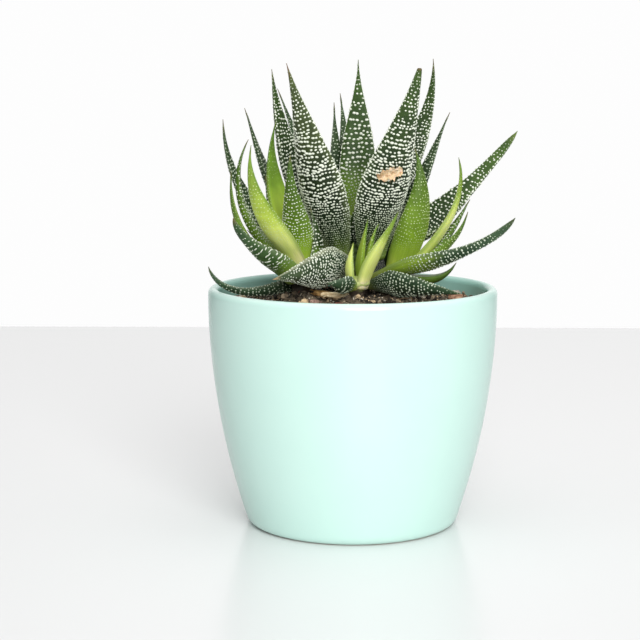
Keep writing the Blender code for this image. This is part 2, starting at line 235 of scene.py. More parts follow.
profile = [(r, FOOT_RECESS) for r in steps(POT_CENTRE, FOOT_RADIUS - FOOT_RING, 4)]
profile += [(FOOT_RADIUS - FOOT_RING + 0.6 * MM, 0.0), (FOOT_RADIUS, 0.0)]
profile += [(FOOT_RADIUS + 0.9 * MM, 0.15 * MM), (FOOT_RADIUS + FOOT_EDGE, 0.6 * MM)]
profile += [(wall_radius(1.2 * MM) - 0.5 * MM, 1.1 * MM)]
profile += [(wall_radius(z), z) for z in steps(FOOT_EDGE, LIP_BASE, 60)]
for angle in steps(8, 172, 16):
    turn = math.radians(angle)
    lip = POT_WALL / 2 * math.cos(turn)
    profile.append((POT_RADIUS - POT_WALL / 2 + lip, LIP_BASE + LIP_HEIGHT * math.sin(turn)))
profile += [(wall_radius(z) - POT_WALL, z) for z in steps(LIP_BASE, POT_FLOOR + FLOOR_CORNER, 30)]
floor_radius = wall_radius(POT_FLOOR) - POT_WALL
profile += [(floor_radius - 3 * MM, POT_FLOOR + 0.8 * MM)]
profile += [(r, POT_FLOOR) for r in steps(floor_radius - 6 * MM, POT_CENTRE, 3)]
rings = []
for radius, height in profile:
    ring = []
    for k in range(POT_SIDES):
        angle = math.tau * k / POT_SIDES
        place = Vector((1.6 * math.cos(angle), 1.6 * math.sin(angle), height / (30 * MM)))
        reach = radius + HAND_WOBBLE * noise.noise(place) * smooth_step(0.0, 8 * MM, height)
        ring.append(Vector((reach * math.cos(angle), reach * math.sin(angle), height)))
    rings.append(ring)
pot = mesh_piece("cover_pot", *skinned(rings), mint_glaze)
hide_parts("pot")
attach(pot, "root")


# Potting mix: peat with bark fines and grit, filled to a little under the lip and pressed down into
# a low mound round the stems. Watering has left it rough, with pits, loose crumbs and root threads.
SOIL_GAP = 0.45 * MM
SOIL_EDGE = 80.0 * MM
SOIL_MIDDLE = 84.0 * MM
SOIL_ROUGHNESS = 1.6 * MM
SOIL_LUMP = 7.0 * MM
SOIL_SIDES = 240
SOIL_BED = ((0.008, 0.006, 0.005, 1), (0.16, 0.125, 0.085, 1))
SOIL_DUST = (0.42, 0.36, 0.26, 1)
SOIL_SHADOW = (0.02, 0.014, 0.01, 1)
# Wet peat, bark fines, dry peat, grit, straw and red bark, each from a share of the crumbs up.
CRUMB_KINDS = (
    (0.00, (0.024, 0.018, 0.012, 1)),
    (0.30, (0.12, 0.090, 0.060, 1)),
    (0.50, (0.36, 0.28, 0.19, 1)),
    (0.66, (0.72, 0.65, 0.54, 1)),
    (0.82, (0.84, 0.62, 0.38, 1)),
    (0.96, (0.36, 0.13, 0.08, 1)),
)
# Where the mix is heaped round the young plants, and how high, in millimetres.
HEAPS = ((1.5, -23.5, 3.8), (-18.5, -16.0, 4.8), (15.3, 2.7, 4.0))
ROOT_THREADS = 36
ROOT_REACH = 44.0 * MM
ROOT_BROWN = ((0.13, 0.075, 0.04, 1), (0.46, 0.32, 0.18, 1))


def soil_height(x, y):
    """The mound that the plants were set in, without its grain."""
    reach = math.hypot(x, y) / (POT_RADIUS - POT_WALL)
    mound = SOIL_EDGE + (SOIL_MIDDLE - SOIL_EDGE) * (1.0 - reach * reach)
    return mound + SOIL_ROUGHNESS * noise.noise(Vector((x / SOIL_LUMP, y / SOIL_LUMP, 3.7)))


def soil_grain(x, y):
    """Lumps and pits on the mound."""
    place = Vector((x, y, 0.0)) / MM
    lumps = noise.fractal(place / 2.6, 0.8, 2.1, 4)
    pits = smooth_step(0.15, 0.45, noise.noise(place / 3.4 + Vector((5.0, 9.0, 2.0))))
    heaps = 0.0
    for centre_x, centre_y, height in HEAPS:
        away = (place.x - centre_x) ** 2 + (place.y - centre_y) ** 2
        heaps += height * math.exp(-away / 24.0)
    return 0.75 * MM * lumps - 1.7 * MM * pits * (1.0 - min(1.0, heaps)) + heaps * MM


def joined(name, pieces):
    """Joins finished pieces into one object that keeps their finishes and attributes."""
    bpy.ops.object.select_all(action="DESELECT")
    for made in pieces:
        made.select_set(True)
    bpy.context.view_layer.objects.active = pieces[0]
    bpy.ops.object.join()
    pieces[0].name = name
    return pieces[0]


def set_up_tree(name, inputs):
    """A geometry node tree with named inputs, and the sockets that give them."""
    tree = bpy.data.node_groups.new(name, "GeometryNodeTree")
    tree.interface.new_socket("Geometry", in_out="INPUT", socket_type="NodeSocketGeometry")
    for label, kind, value in inputs:
        socket = tree.interface.new_socket(label, in_out="INPUT", socket_type=kind)
        if value is not None:
            socket.default_value = value
    tree.interface.new_socket("Geometry", in_out="OUTPUT", socket_type="NodeSocketGeometry")
    return tree, add(tree, "NodeGroupInput").outputs


def grown(made, tree, values):
    """Runs a node tree on an object and keeps what it makes as a plain mesh."""
    modifier = made.modifiers.new("grow", "NODES")
    modifier.node_group = tree
    for item in tree.interface.items_tree:
        if item.item_type == "SOCKET" and item.in_out == "INPUT" and item.name in values:
            modifier[item.identifier] = values[item.name]
    made.update_tag()
    graph = bpy.context.evaluated_depsgraph_get()
    result = bpy.data.meshes.new_from_object(made.evaluated_get(graph))
    made.modifiers.clear()
    made.data = result
    return made


def strewn(tree, given, on_top, many, size, roundness, shift):
    """One kind of grain, strewn by chance, turned and stretched by chance and made uneven."""
    seed = math_of(tree, "ADD", given["Seed"], shift)
    points = add(tree, "GeometryNodeDistributePointsOnFaces", {
        "Mesh": given["Geometry"], "Selection": on_top, "Density": given[many], "Seed": seed,
    })
    grain = add(tree, "GeometryNodeMeshIcoSphere", {"Radius": 0.5, "Subdivisions": roundness})
    turn = add(tree, "FunctionNodeRandomValue", {
        "Min": (0.0, 0.0, 0.0), "Max": (6.28, 6.28, 6.28), "Seed": seed,
    }, data_type="FLOAT_VECTOR")
    shape = add(tree, "FunctionNodeRandomValue", {
        "Min": (0.30, 0.25, 0.20), "Max": (1.35, 0.90, 0.60), "Seed": math_of(tree, "ADD", seed, 3.0),
    }, data_type="FLOAT_VECTOR")
    scale = add(tree, "ShaderNodeVectorMath", {0: shape.outputs[0], "Scale": given[size]}, operation="SCALE")
    placed = add(tree, "GeometryNodeInstanceOnPoints", {
        "Points": points.outputs["Points"],
        "Instance": grain.outputs["Mesh"],
        "Rotation": add(tree, "FunctionNodeEulerToRotation", {0: turn.outputs[0]}).outputs[0],
        "Scale": scale.outputs[0],
    })
    shade = add(tree, "FunctionNodeRandomValue", {
        "Min": 0.05, "Max": 1.0, "Seed": math_of(tree, "ADD", seed, 5.0),
    }, data_type="FLOAT")
    placed = add(tree, "GeometryNodeStoreNamedAttribute", {
        "Geometry": placed.outputs[0], "Name": "shade", "Value": shade.outputs[1],
    }, data_type="FLOAT", domain="INSTANCE")
    made = add(tree, "GeometryNodeRealizeInstances", {0: placed.outputs[0]})
    uneven = add(tree, "ShaderNodeTexNoise", {"Scale": 900.0, "Detail": 2.0}).outputs["Color"]
    uneven = add(tree, "ShaderNodeVectorMath", {0: uneven, 1: (0.5, 0.5, 0.5)}, operation="SUBTRACT")
    uneven = add(tree, "ShaderNodeVectorMath", {
        0: uneven.outputs[0], "Scale": math_of(tree, "MULTIPLY", given[size], 0.7),
    }, operation="SCALE")
    made = add(tree, "GeometryNodeSetPosition", {"Geometry": made.outputs[0], "Offset": uneven.outputs[0]})
    return add(tree, "GeometryNodeSetMaterial", {"Geometry": made.outputs[0], "Material": given["Finish"]})


def crumb_tree():
    """Strews crumbs and larger bits over the top of the soil."""
    tree, given = set_up_tree("strew_crumbs", (
        ("Crumbs per Area", "NodeSocketFloat", 520000.0),
        ("Bits per Area", "NodeSocketFloat", 52000.0),
        ("Crumb Size", "NodeSocketFloat", 1.0 * MM),
        ("Bit Size", "NodeSocketFloat", 3.6 * MM),
        ("Lowest", "NodeSocketFloat", 77.0 * MM),
        ("Seed", "NodeSocketInt", 1),
        ("Finish", "NodeSocketMaterial", None),
    ))
    place = add(tree, "GeometryNodeInputPosition").outputs[0]
    height = add(tree, "ShaderNodeSeparateXYZ", {0: place}).outputs["Z"]
    normal = add(tree, "GeometryNodeInputNormal").outputs[0]
    facing = add(tree, "ShaderNodeSeparateXYZ", {0: normal}).outputs["Z"]
    on_top = math_of(
        tree, "MULTIPLY",
        math_of(tree, "GREATER_THAN", height, given["Lowest"]),
        math_of(tree, "GREATER_THAN", facing, 0.3),
    )
    everything = add(tree, "GeometryNodeJoinGeometry")
    bed = add(tree, "GeometryNodeSetMaterial", {"Geometry": given["Geometry"], "Material": given["Finish"]})
    crumbs = strewn(tree, given, on_top, "Crumbs per Area", "Crumb Size", 1, 0.0)
    bits = strewn(tree, given, on_top, "Bits per Area", "Bit Size", 2, 11.0)
    for part in (bed, crumbs, bits):
        tree.links.new(part.outputs[0], everything.inputs[0])
    tree.links.new(everything.outputs[0], add(tree, "NodeGroupOutput").inputs[0])
    return tree


def named_value(tree, kind, name):
    return add(tree, "GeometryNodeInputNamedAttribute", {"Name": name}, data_type=kind).outputs["Attribute"]


def thread_tree():
    """Draws a thread along each line of points, thickest in its middle and drawn out at both ends."""
    tree, given = set_up_tree("draw_threads", (
        ("Sides", "NodeSocketInt", 4),
        ("End Share", "NodeSocketFloat", 0.25),
        ("Finish", "NodeSocketMaterial", None),
    ))
    line = add(tree, "GeometryNodeMeshToCurve", {"Mesh": given["Geometry"]})
    number = math_of(tree, "ADD", add(tree, "GeometryNodeSplineParameter").outputs["Index"], 0.5)
    part = math_of(tree, "DIVIDE", number, add(tree, "GeometryNodeSplineLength").outputs["Point Count"])
    bulge = math_of(tree, "SINE", math_of(tree, "MULTIPLY", part, math.pi))
    rest = math_of(tree, "SUBTRACT", 1.0, given["End Share"])
    share = math_of(tree, "ADD", math_of(tree, "MULTIPLY", bulge, rest), given["End Share"])
    radius = math_of(tree, "MULTIPLY", share, named_value(tree, "FLOAT", "thickness"))
    ring = add(tree, "GeometryNodeCurvePrimitiveCircle", {"Resolution": given["Sides"], "Radius": 1.0})
    made = add(tree, "GeometryNodeCurveToMesh", {
        "Curve": line.outputs[0], "Profile Curve": ring.outputs["Curve"], "Scale": radius, "Fill Caps": True,
    })
    made = add(tree, "GeometryNodeRemoveAttribute", {"Geometry": made.outputs[0], "Name": "thickness"})
    made = add(tree, "GeometryNodeSetShadeSmooth", {0: made.outputs[0]})
    made = add(tree, "GeometryNodeRealizeInstances", {0: made.outputs[0]})
    made = add(tree, "GeometryNodeSetMaterial", {"Geometry": made.outputs[0], "Material": given["Finish"]})
    tree.links.new(made.outputs[0], add(tree, "NodeGroupOutput").inputs[0])
    return tree


DRAW_THREADS = thread_tree()


def threads(name, lines, finish):
    """Thin threads in one object, each given by its points and its thickness."""
    points, edges, thickness = [], [], []
    for line, thick in lines:
        edges += [(len(points) + k, len(points) + k + 1) for k in range(len(line) - 1)]
        points += line
        thickness += [thick] * len(line)
    made = mesh_piece(name, points, [], edges=edges)
    made.data.attributes.new("thickness", "FLOAT", "POINT").data.foreach_set("value", thickness)
    return grown(made, DRAW_THREADS, {"Finish": finish})


potting_mix, tree, shader = shader_finish("potting_mix")
where = add(tree, "ShaderNodeTexCoord").outputs["Object"]
coarse = mottle(tree, where, 420.0, 6.0, 0.7)
bed = mixed(tree, ranged(tree, coarse, 0.40, 0.62), *SOIL_BED)
dusty = mottled(tree, where, 260.0, 5.0, patches=(0.54, 0.66, 0.0, 0.50))["Patches"]
bed = mixed(tree, dusty, bed, SOIL_DUST)
shade = add(tree, "ShaderNodeAttribute", attribute_name="shade").outputs["Fac"]
kinds = add(tree, "ShaderNodeValToRGB", {"Fac": shade})
ramp = kinds.color_ramp
ramp.interpolation = "CONSTANT"
ramp.elements.remove(ramp.elements[1])
for place, colour in CRUMB_KINDS:
    entry = ramp.elements.new(place) if place else ramp.elements[0]
    entry.color = colour
shadow = ranged(tree, coarse, 0.34, 0.60, 0.70, 0.0)
crumb = mixed(tree, shadow, kinds.outputs["Color"], SOIL_SHADOW)
colour = mixed(tree, math_of(tree, "GREATER_THAN", shade, 0.01), bed, crumb)
tree.links.new(colour, shader.inputs["Base Color"])
shader.inputs["Roughness"].default_value = 0.9
shader.inputs["Specular IOR Level"].default_value = 0.3
bumped(tree, shader, coarse, 0.8, 0.4 * MM)

rings = []
turns = [math.tau * k / SOIL_SIDES for k in range(SOIL_SIDES)]
inset = POT_WALL + SOIL_GAP
profile = [(wall_radius(POT_FLOOR) - inset - 4 * MM, POT_FLOOR + 0.5 * MM)]
profile += [(wall_radius(z) - inset, z) for z in steps(POT_FLOOR + 4 * MM, SOIL_EDGE - 1.8 * MM, 6)]
for radius, height in profile:
    rings.append([Vector((radius * math.cos(a), radius * math.sin(a), height)) for a in turns])
brim = wall_radius(SOIL_EDGE) - inset
for share in steps(1.0, 0.014, 70):
    eased = smooth_step(1.0, 0.97, share)
    ring = []
    for a in turns:
        x, y = share * brim * math.cos(a), share * brim * math.sin(a)
        ring.append(Vector((x, y, soil_height(x, y) + eased * soil_grain(x, y))))
    rings.append(ring)
soil = mesh_piece("soil_bed", *skinned(rings), potting_mix)
soil = grown(soil, crumb_tree(), {"Seed": 4, "Finish": potting_mix})

root_brown, tree, shader = shader_finish("root_brown")
where = add(tree, "ShaderNodeTexCoord").outputs["Object"]
colour = mixed(tree, mottle(tree, where, 300.0), *ROOT_BROWN)
tree.links.new(colour, shader.inputs["Base Color"])
shader.inputs["Roughness"].default_value = 0.8
dice = random.Random(21)
lines = []
for _ in range(ROOT_THREADS):
    away, round_by = ROOT_REACH * math.sqrt(dice.random()), dice.uniform(0, math.tau)
    x, y = away * math.cos(round_by), away * math.sin(round_by)
    heading, bend, reach = dice.uniform(0, math.tau), dice.uniform(-1.6, 1.6), dice.uniform(3, 9) * MM
    line = []
    for share in steps(0.0, 1.0, 12):
        arch = dice.uniform(0.6, 1.6) * MM * math.sin(math.pi * share)
        line.append(Vector((x, y, soil_height(x, y) + 0.5 * MM + arch)))
        x += reach / 12 * math.cos(heading + bend * share)
        y += reach / 12 * math.sin(heading + bend * share)
    lines.append((line, dice.uniform(0.08, 0.20) * MM))
soil = joined("soil_bed", [soil, threads("root_threads", lines, root_brown)])
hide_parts("soil")
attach(soil, "root")


# Leaves of the main rosette: thick, stiff and fleshy, round on the outer face and flat on the
# inner one. Each grew from the stem with hard white tubercles in wavy rows across it, and its
# foot, which the light doesn't reach, is smooth and lime green. One tip broke off and healed.
STEM_X = 1.0 * MM
STEM_Y = 1.0 * MM
STEM_RADIUS = 6.0 * MM
SEAT_GAP = 0.3 * MM
SEAT_SHARE = 0.6
WIDEST = 0.32
NECK = 0.50
TAPER = 1.8
OUTER_TAPER = 0.8
OUTER_DEPTH = 0.33
INNER_DEPTH = 0.07
ROLLED_BY = 0.30
BLADE_LEAST = 0.3 * MM
TIP_RADIUS = 0.12 * MM
MAIN_RINGS = 3.6 * MM
BLADE_STEP = 1.0 * MM
BLADE_COLUMNS = 36
LINE_STEPS = 400
GIRTH_STEPS = 64
TUBERCLES_TO = 0.975
DRY_FROM = 0.91

LEAF_FIELDS = "azimuth height stem_rise middle_rise tip_rise length width roll fullness"
Leaf = namedtuple("Leaf", LEAF_FIELDS, defaults=(0.2,))
# Rows, columns and size of the tubercles in millimetres, and how long the dashes get. Then how
# far up the smooth foot reaches on the outer and inner face, the lime of each face, and the flesh.
Warts = namedtuple("Warts", "row column size dash outer_from inner_from outer_lime inner_lime flesh")

CLOSE = Warts(1.40, 1.32, 0.97, 0.60, 0.02, 0.05, 0.00, 0.05, "dark")
LOOSE = Warts(1.45, 1.36, 0.86, 0.30, 0.05, 0.06, 0.04, 0.07, "dark")
# Back leaves: their darker, greyer flesh and grey tubercles are painted shade from the leaves in front.
FAR = LOOSE._replace(row=1.40, column=1.30, size=0.70, flesh="shaded_back")
WIDE = LOOSE._replace(row=1.75, column=1.65, size=1.00, flesh="bright")
LOW = LOOSE._replace(row=1.35, column=1.25, size=0.78, flesh="grey")
HALF_SMOOTH = LOOSE._replace(
    size=0.78, outer_from=0.26, inner_from=0.26, outer_lime=0.38, inner_lime=0.38, flesh="grey",
)
DENSE = CLOSE._replace(row=1.20, column=1.12, size=0.74, dash=0.40, flesh="lying")
MAIN_LEAVES = {
    "front_left": (Leaf(231.5, 98.5, 76, 65.5, 66, 74, 19, 0, 0.5), CLOSE._replace(flesh="olive")),
    "front_right": (Leaf(305, 98, 88, 61, 75, 78, 20, 0, 1.0), CLOSE),
    "left_tall": (Leaf(167, 104, 55, 71, 83, 66, 14, -22, 0.6), LOOSE),
    "left_behind": (Leaf(127.5, 97, 56, 56, 55, 74, 8, 0), FAR),
    "left_back": (Leaf(166, 98, 30, 62, 70, 65, 11, 0), FAR),
    "far_left": (Leaf(181, 92.4, 25, 54, 90, 72, 11, -25, 0.8), FAR),
    "back_narrow": (Leaf(114, 102, 63, 79, 86, 53, 8, 0), FAR),
    "back_slim": (Leaf(97, 93.6, 58, 60, 37, 76, 8, 0), FAR),
    "back_middle": (
        Leaf(86, 110, 84, 85, 100, 59, 13, 0), WIDE._replace(size=1.08, inner_lime=0.26, flesh="middle"),
    ),
    "back_right": (Leaf(54, 106.5, 56, 47.5, 100, 78, 14, 0, 0.8), LOOSE),
    "right_back": (Leaf(40.7, 103, 22, 56, 55, 62.5, 9, 0), FAR),
    "right_long": (Leaf(25, 98.0, 24, 38, 47, 75, 14, 22, 3.0), WIDE),
    "right_low": (Leaf(330.5, 91.3, 22, 17, 49, 61, 11.5, -22, 3.5), HALF_SMOOTH),
    "right_soil": (Leaf(320, 88.5, 8, -3, -5, 41, 12, -50, 1.5), LOW),
    "over_rim": (Leaf(192, 89.5, 16, -10, 82, 51, 11, 20, 2.0), LOW._replace(size=0.64)),
    "front_lying": (Leaf(238, 94.5, 8, -2, -4, 46, 16, 65, 1.0), DENSE),
    "low_back_right": (Leaf(60, 89, 16, 24, 40, 48, 12, 0), LOOSE),
    "low_back": (Leaf(102.3, 88, 8, 18, 35, 44, 10, 0), LOOSE),
    "low_back_left": (Leaf(146.5, 88.8, 12, 20, 40, 46, 12, 0), LOOSE),
}
BROKEN_TIP = ("front_right", 0.93)


def blade_width(share, fullness, neck):
    """Width at a share of the length, against the widest place."""
    if share < WIDEST:
        return neck + (1.0 - neck) * math.sin(0.5 * math.pi * share / WIDEST)
    out = (share - WIDEST) / (1.0 - WIDEST)
    drawn_out = (1.0 - out) ** TAPER * (1.0 + TAPER * out)
    return drawn_out + fullness * ((1.0 - out) - drawn_out) * out


class Blade:
    """The surface of one leaf, read by a share of its length and an angle round its middle line."""

    def __init__(self, leaf, x, y, start_radius, spacing, neck, seed):
        self.leaf, self.neck, self.seed = leaf, neck, seed
        self.length = leaf.length * MM
        self.width = leaf.width * MM
        turn = math.radians(leaf.azimuth)
        self.outward = Vector((math.cos(turn), math.sin(turn), 0.0))
        self.side = Vector((-math.sin(turn), math.cos(turn), 0.0))
        lag = 0.5 / max(4, round(self.length / spacing))
        self.line = [Vector((x, y, leaf.height * MM)) + self.outward * start_radius]
        for i in range(LINE_STEPS):
            along = self.along(max(0.0, (i + 0.5) / LINE_STEPS - lag))
            self.line.append(self.line[-1] + along * self.length / LINE_STEPS)

    def along(self, s):
        leaf = self.leaf
        rise = leaf.stem_rise * (1 - s) * (1 - 2 * s)
        rise += leaf.middle_rise * 4 * s * (1 - s) + leaf.tip_rise * s * (2 * s - 1)
        rise = math.radians(rise)
        return self.outward * math.cos(rise) + Vector((0, 0, math.sin(rise)))

    def centre(self, s):
        place = min(LINE_STEPS - 1e-6, max(0.0, s * LINE_STEPS))
        low = int(place)
        return self.line[low].lerp(self.line[low + 1], place - low)

    def point(self, s, angle):
        along = self.along(s)
        roll = math.radians(self.leaf.roll) * min(1.0, s / ROLLED_BY)
        rolled = Matrix.Rotation(roll, 3, along)
        side, up = rolled @ self.side, rolled @ along.cross(self.side)
        wide = blade_width(s, self.leaf.fullness, self.neck)
        least = BLADE_LEAST + (TIP_RADIUS - BLADE_LEAST) * smooth_step(0.94, 1.0, s)
        place = Vector((s * 9.0, math.copysign(3.0, math.cos(angle)), self.seed))
        edge = 1.0 + 0.030 * noise.noise(place)
        across = max(0.5 * self.width * wide, least) * edge
        through = math.sin(angle)
        if through > 0:
            dish = 1.0 - 0.7 * through ** 4 * smooth_step(0.10, 0.35, s) * smooth_step(1.0, 0.8, s)
            depth = through * max(INNER_DEPTH * self.width * wide * dish, least)
        else:
            keel = 1.0 + 0.10 * smooth_step(0.45, 0.85, s) * through ** 12
            depth = through * max(OUTER_DEPTH * self.width * wide ** OUTER_TAPER * keel, least)
        place = Vector((s * 7.0, 1.7 * math.cos(angle), 1.7 * through + self.seed))
        dent = 1.0 + 0.035 * noise.noise(place)
        return self.centre(s) + side * across * math.cos(angle) + up * depth * dent

    def normal(self, s, angle):
        """Ways out of the surface and across the leaf."""
        step = 0.004
        across = self.point(s, angle + 5 * step) - self.point(s, angle - 5 * step)
        along = self.point(min(1.0, s + step), angle) - self.point(max(0.0, s - step), angle)
        return across.cross(along).normalized(), across.normalized()

    def girth(self, s):
        """Angles round the section, and the length round it up to each of them."""
        angles = steps(0.0, math.tau, GIRTH_STEPS)
        points = [self.point(s, a) for a in angles]
        reach = [0.0]
        for first, second in zip(points, points[1:]):
            reach.append(reach[-1] + (second - first).length)
        return angles, reach


def angle_at(angles, reach, target):
    """Angle at which a length round the section is reached."""
    low = max(i for i in range(GIRTH_STEPS) if reach[i] <= target)
    part = (target - reach[low]) / (reach[low + 1] - reach[low])
    return angles[low] + (angles[low + 1] - angles[low]) * part


def wart_seats(blade, warts, seed, last):
    """Places of the tubercles, row by row.

    Each has its point, way out, way across, size, stretch and share of the leaf's length.
    """
    dice = random.Random(seed)
    seats = []
    length = blade.leaf.length
    reach = 0.6
    while reach / length < last:
        s = reach / length
        crowd = 0.60 + 0.40 * smooth_step(0.14, 0.45, s) - 0.10 * smooth_step(0.62, 0.90, s)
        angles, around = blade.girth(s)
        count = max(5, round(around[-1] / (warts.column * crowd * MM)))
        shift = dice.random()
        thin = 0.03 + 0.12 * smooth_step(0.35, 0.8, s)
        middle = smooth_step(0.18, 0.36, s) * smooth_step(0.80, 0.55, s)
        for k in range(count):
            target = around[-1] * ((k + shift + 0.26 * dice.uniform(-1, 1)) % count) / count
            angle = angle_at(angles, around, target)
            start = warts.inner_from if math.sin(angle) > 0 else warts.outer_from
            wave = noise.noise(Vector((target / (4.6 * MM), reach / 6.0, seed * 1.37)))
            here = s + (0.95 * wave + 0.16 * dice.uniform(-1, 1)) * warts.row * crowd / length
            if here < start + 0.03 * dice.uniform(-1, 1) or here > last or dice.random() < thin:
                continue
            fade = 0.50 + 0.50 * smooth_step(start, start + 0.14, here)
            small_tip = 1.0 - 0.45 * smooth_step(0.76, 0.94, here)
            size = warts.size * crowd ** 1.2 * fade * small_tip * dice.uniform(0.74, 1.18)
            stretch = 1.02 + warts.dash * (0.15 + middle) * dice.uniform(0.0, 1.35)
            out, across = blade.normal(here, angle)
            across = Matrix.Rotation(0.35 * dice.uniform(-1, 1), 3, out) @ across
            seats.append((blade.point(here, angle), out, across, size * MM, stretch, here))
        reach += warts.row * crowd
    for edge in (0.0, math.pi):
        reach = length * max(warts.outer_from, 0.10)
        while reach / length < last - 0.01:
            s = reach / length
            out, across = blade.normal(s, edge)
            slim = 0.55 + 0.25 * smooth_step(0.1, 0.4, s) - 0.40 * smooth_step(0.74, 0.95, s)
            size = warts.size * slim * dice.uniform(0.85, 1.15)
            seats.append((blade.point(s, edge), out, across, size * MM, 1.0, s))
            reach += dice.uniform(1.1, 1.7)
    return seats


def blade_skin(blade, warts, last):
    """Rings of the blade, the share of the length of each, and what the flesh reads at each point."""
    rows = round(blade.length * last / BLADE_STEP)
    shares = [last * (1.0 - (1.0 - i / rows) ** 1.15) for i in range(rows + 1)]
    angles = [math.tau * k / BLADE_COLUMNS for k in range(BLADE_COLUMNS)]
    rings, zones = [], []
    for s in shares:
        rings.append([blade.point(s, angle) for angle in angles])
        for angle in angles:
            across, through = math.cos(angle), math.sin(angle)
            reach = warts.inner_lime if through > 0 else warts.outer_lime
            reach += 0.05 * noise.noise(Vector((2.0 * across, 2.0 * through, blade.seed)))
            lime = smooth_step(reach + 0.16, reach - 0.08, s)
            edge = smooth_step(0.90, 0.995, abs(across))
            dry = smooth_step(DRY_FROM, 1.0, s)
            zones.append((s, lime, edge, dry))
    if last < 1.0:
        middle = sum(rings[-1], Vector()) / BLADE_COLUMNS
        for shrink, lift in ((0.92, 0.35), (0.70, 0.60), (0.35, 0.65)):
            raised = blade.along(last) * lift * MM
            rings.append([middle.lerp(blade.point(last, angle), shrink) + raised for angle in angles])
            zones += [(1.0, 0.0, 0.0, 1.0)] * BLADE_COLUMNS
    return rings, shares, zones + [zones[0], zones[-1]]


def lay_grain(mesh, rings, shares, length):
    """A map of the blade on which the fibre runs along the leaf, ten millimetres to a unit."""
    grain = mesh.uv_layers.new(name="grain")
    ring_points = len(rings) * BLADE_COLUMNS
    top = len(shares) - 1
    for face in mesh.polygons:
        corners = [mesh.loops[i].vertex_index for i in face.loop_indices]
        columns = [c % BLADE_COLUMNS for c in corners if c < ring_points]
        wraps = max(columns) - min(columns) > BLADE_COLUMNS / 2
        for i, c in zip(face.loop_indices, corners):
            row, column = min(c // BLADE_COLUMNS, top), c % BLADE_COLUMNS
            if c >= ring_points:
                row, column = (0 if c == ring_points else top), columns[0]
            if wraps and column < BLADE_COLUMNS / 2:
                column += BLADE_COLUMNS
            grain.data[i].uv = (column / BLADE_COLUMNS, shares[row] * length / (10 * MM))


def leaf_mesh(name, blade, warts, seats, last=1.0):
    """The blade and the seats of its tubercles as loose points, with what their finishes read."""
    rings, shares, zones = blade_skin(blade, warts, last)
    points, faces = skinned(rings)
    made = mesh_piece(name, points + [seat[0] for seat in seats], faces)
    attributes = made.data.attributes
    loose = [(seat[5], 0.0, 0.0, 0.0) for seat in seats]
    for index, kind in enumerate(("share", "lime", "edge", "dry")):
        values = [zone[index] for zone in zones + loose]
        attributes.new(kind, "FLOAT", "POINT").data.foreach_set("value", values)
    seated = [False] * len(points) + [True] * len(seats)
    attributes.new("seat", "BOOLEAN", "POINT").data.foreach_set("value", seated)
    for index, kind in ((1, "outward"), (2, "across")):
        flat = [0.0] * (3 * len(points)) + [n for seat in seats for n in seat[index]]
        attributes.new(kind, "FLOAT_VECTOR", "POINT").data.foreach_set("vector", flat)
    for index, kind in ((3, "size"), (4, "stretch")):
        values = [0.0] * len(points) + [seat[index] for seat in seats]
        attributes.new(kind, "FLOAT", "POINT").data.foreach_set("value", values)
    lay_grain(made.data, rings, shares, blade.length)
    return made


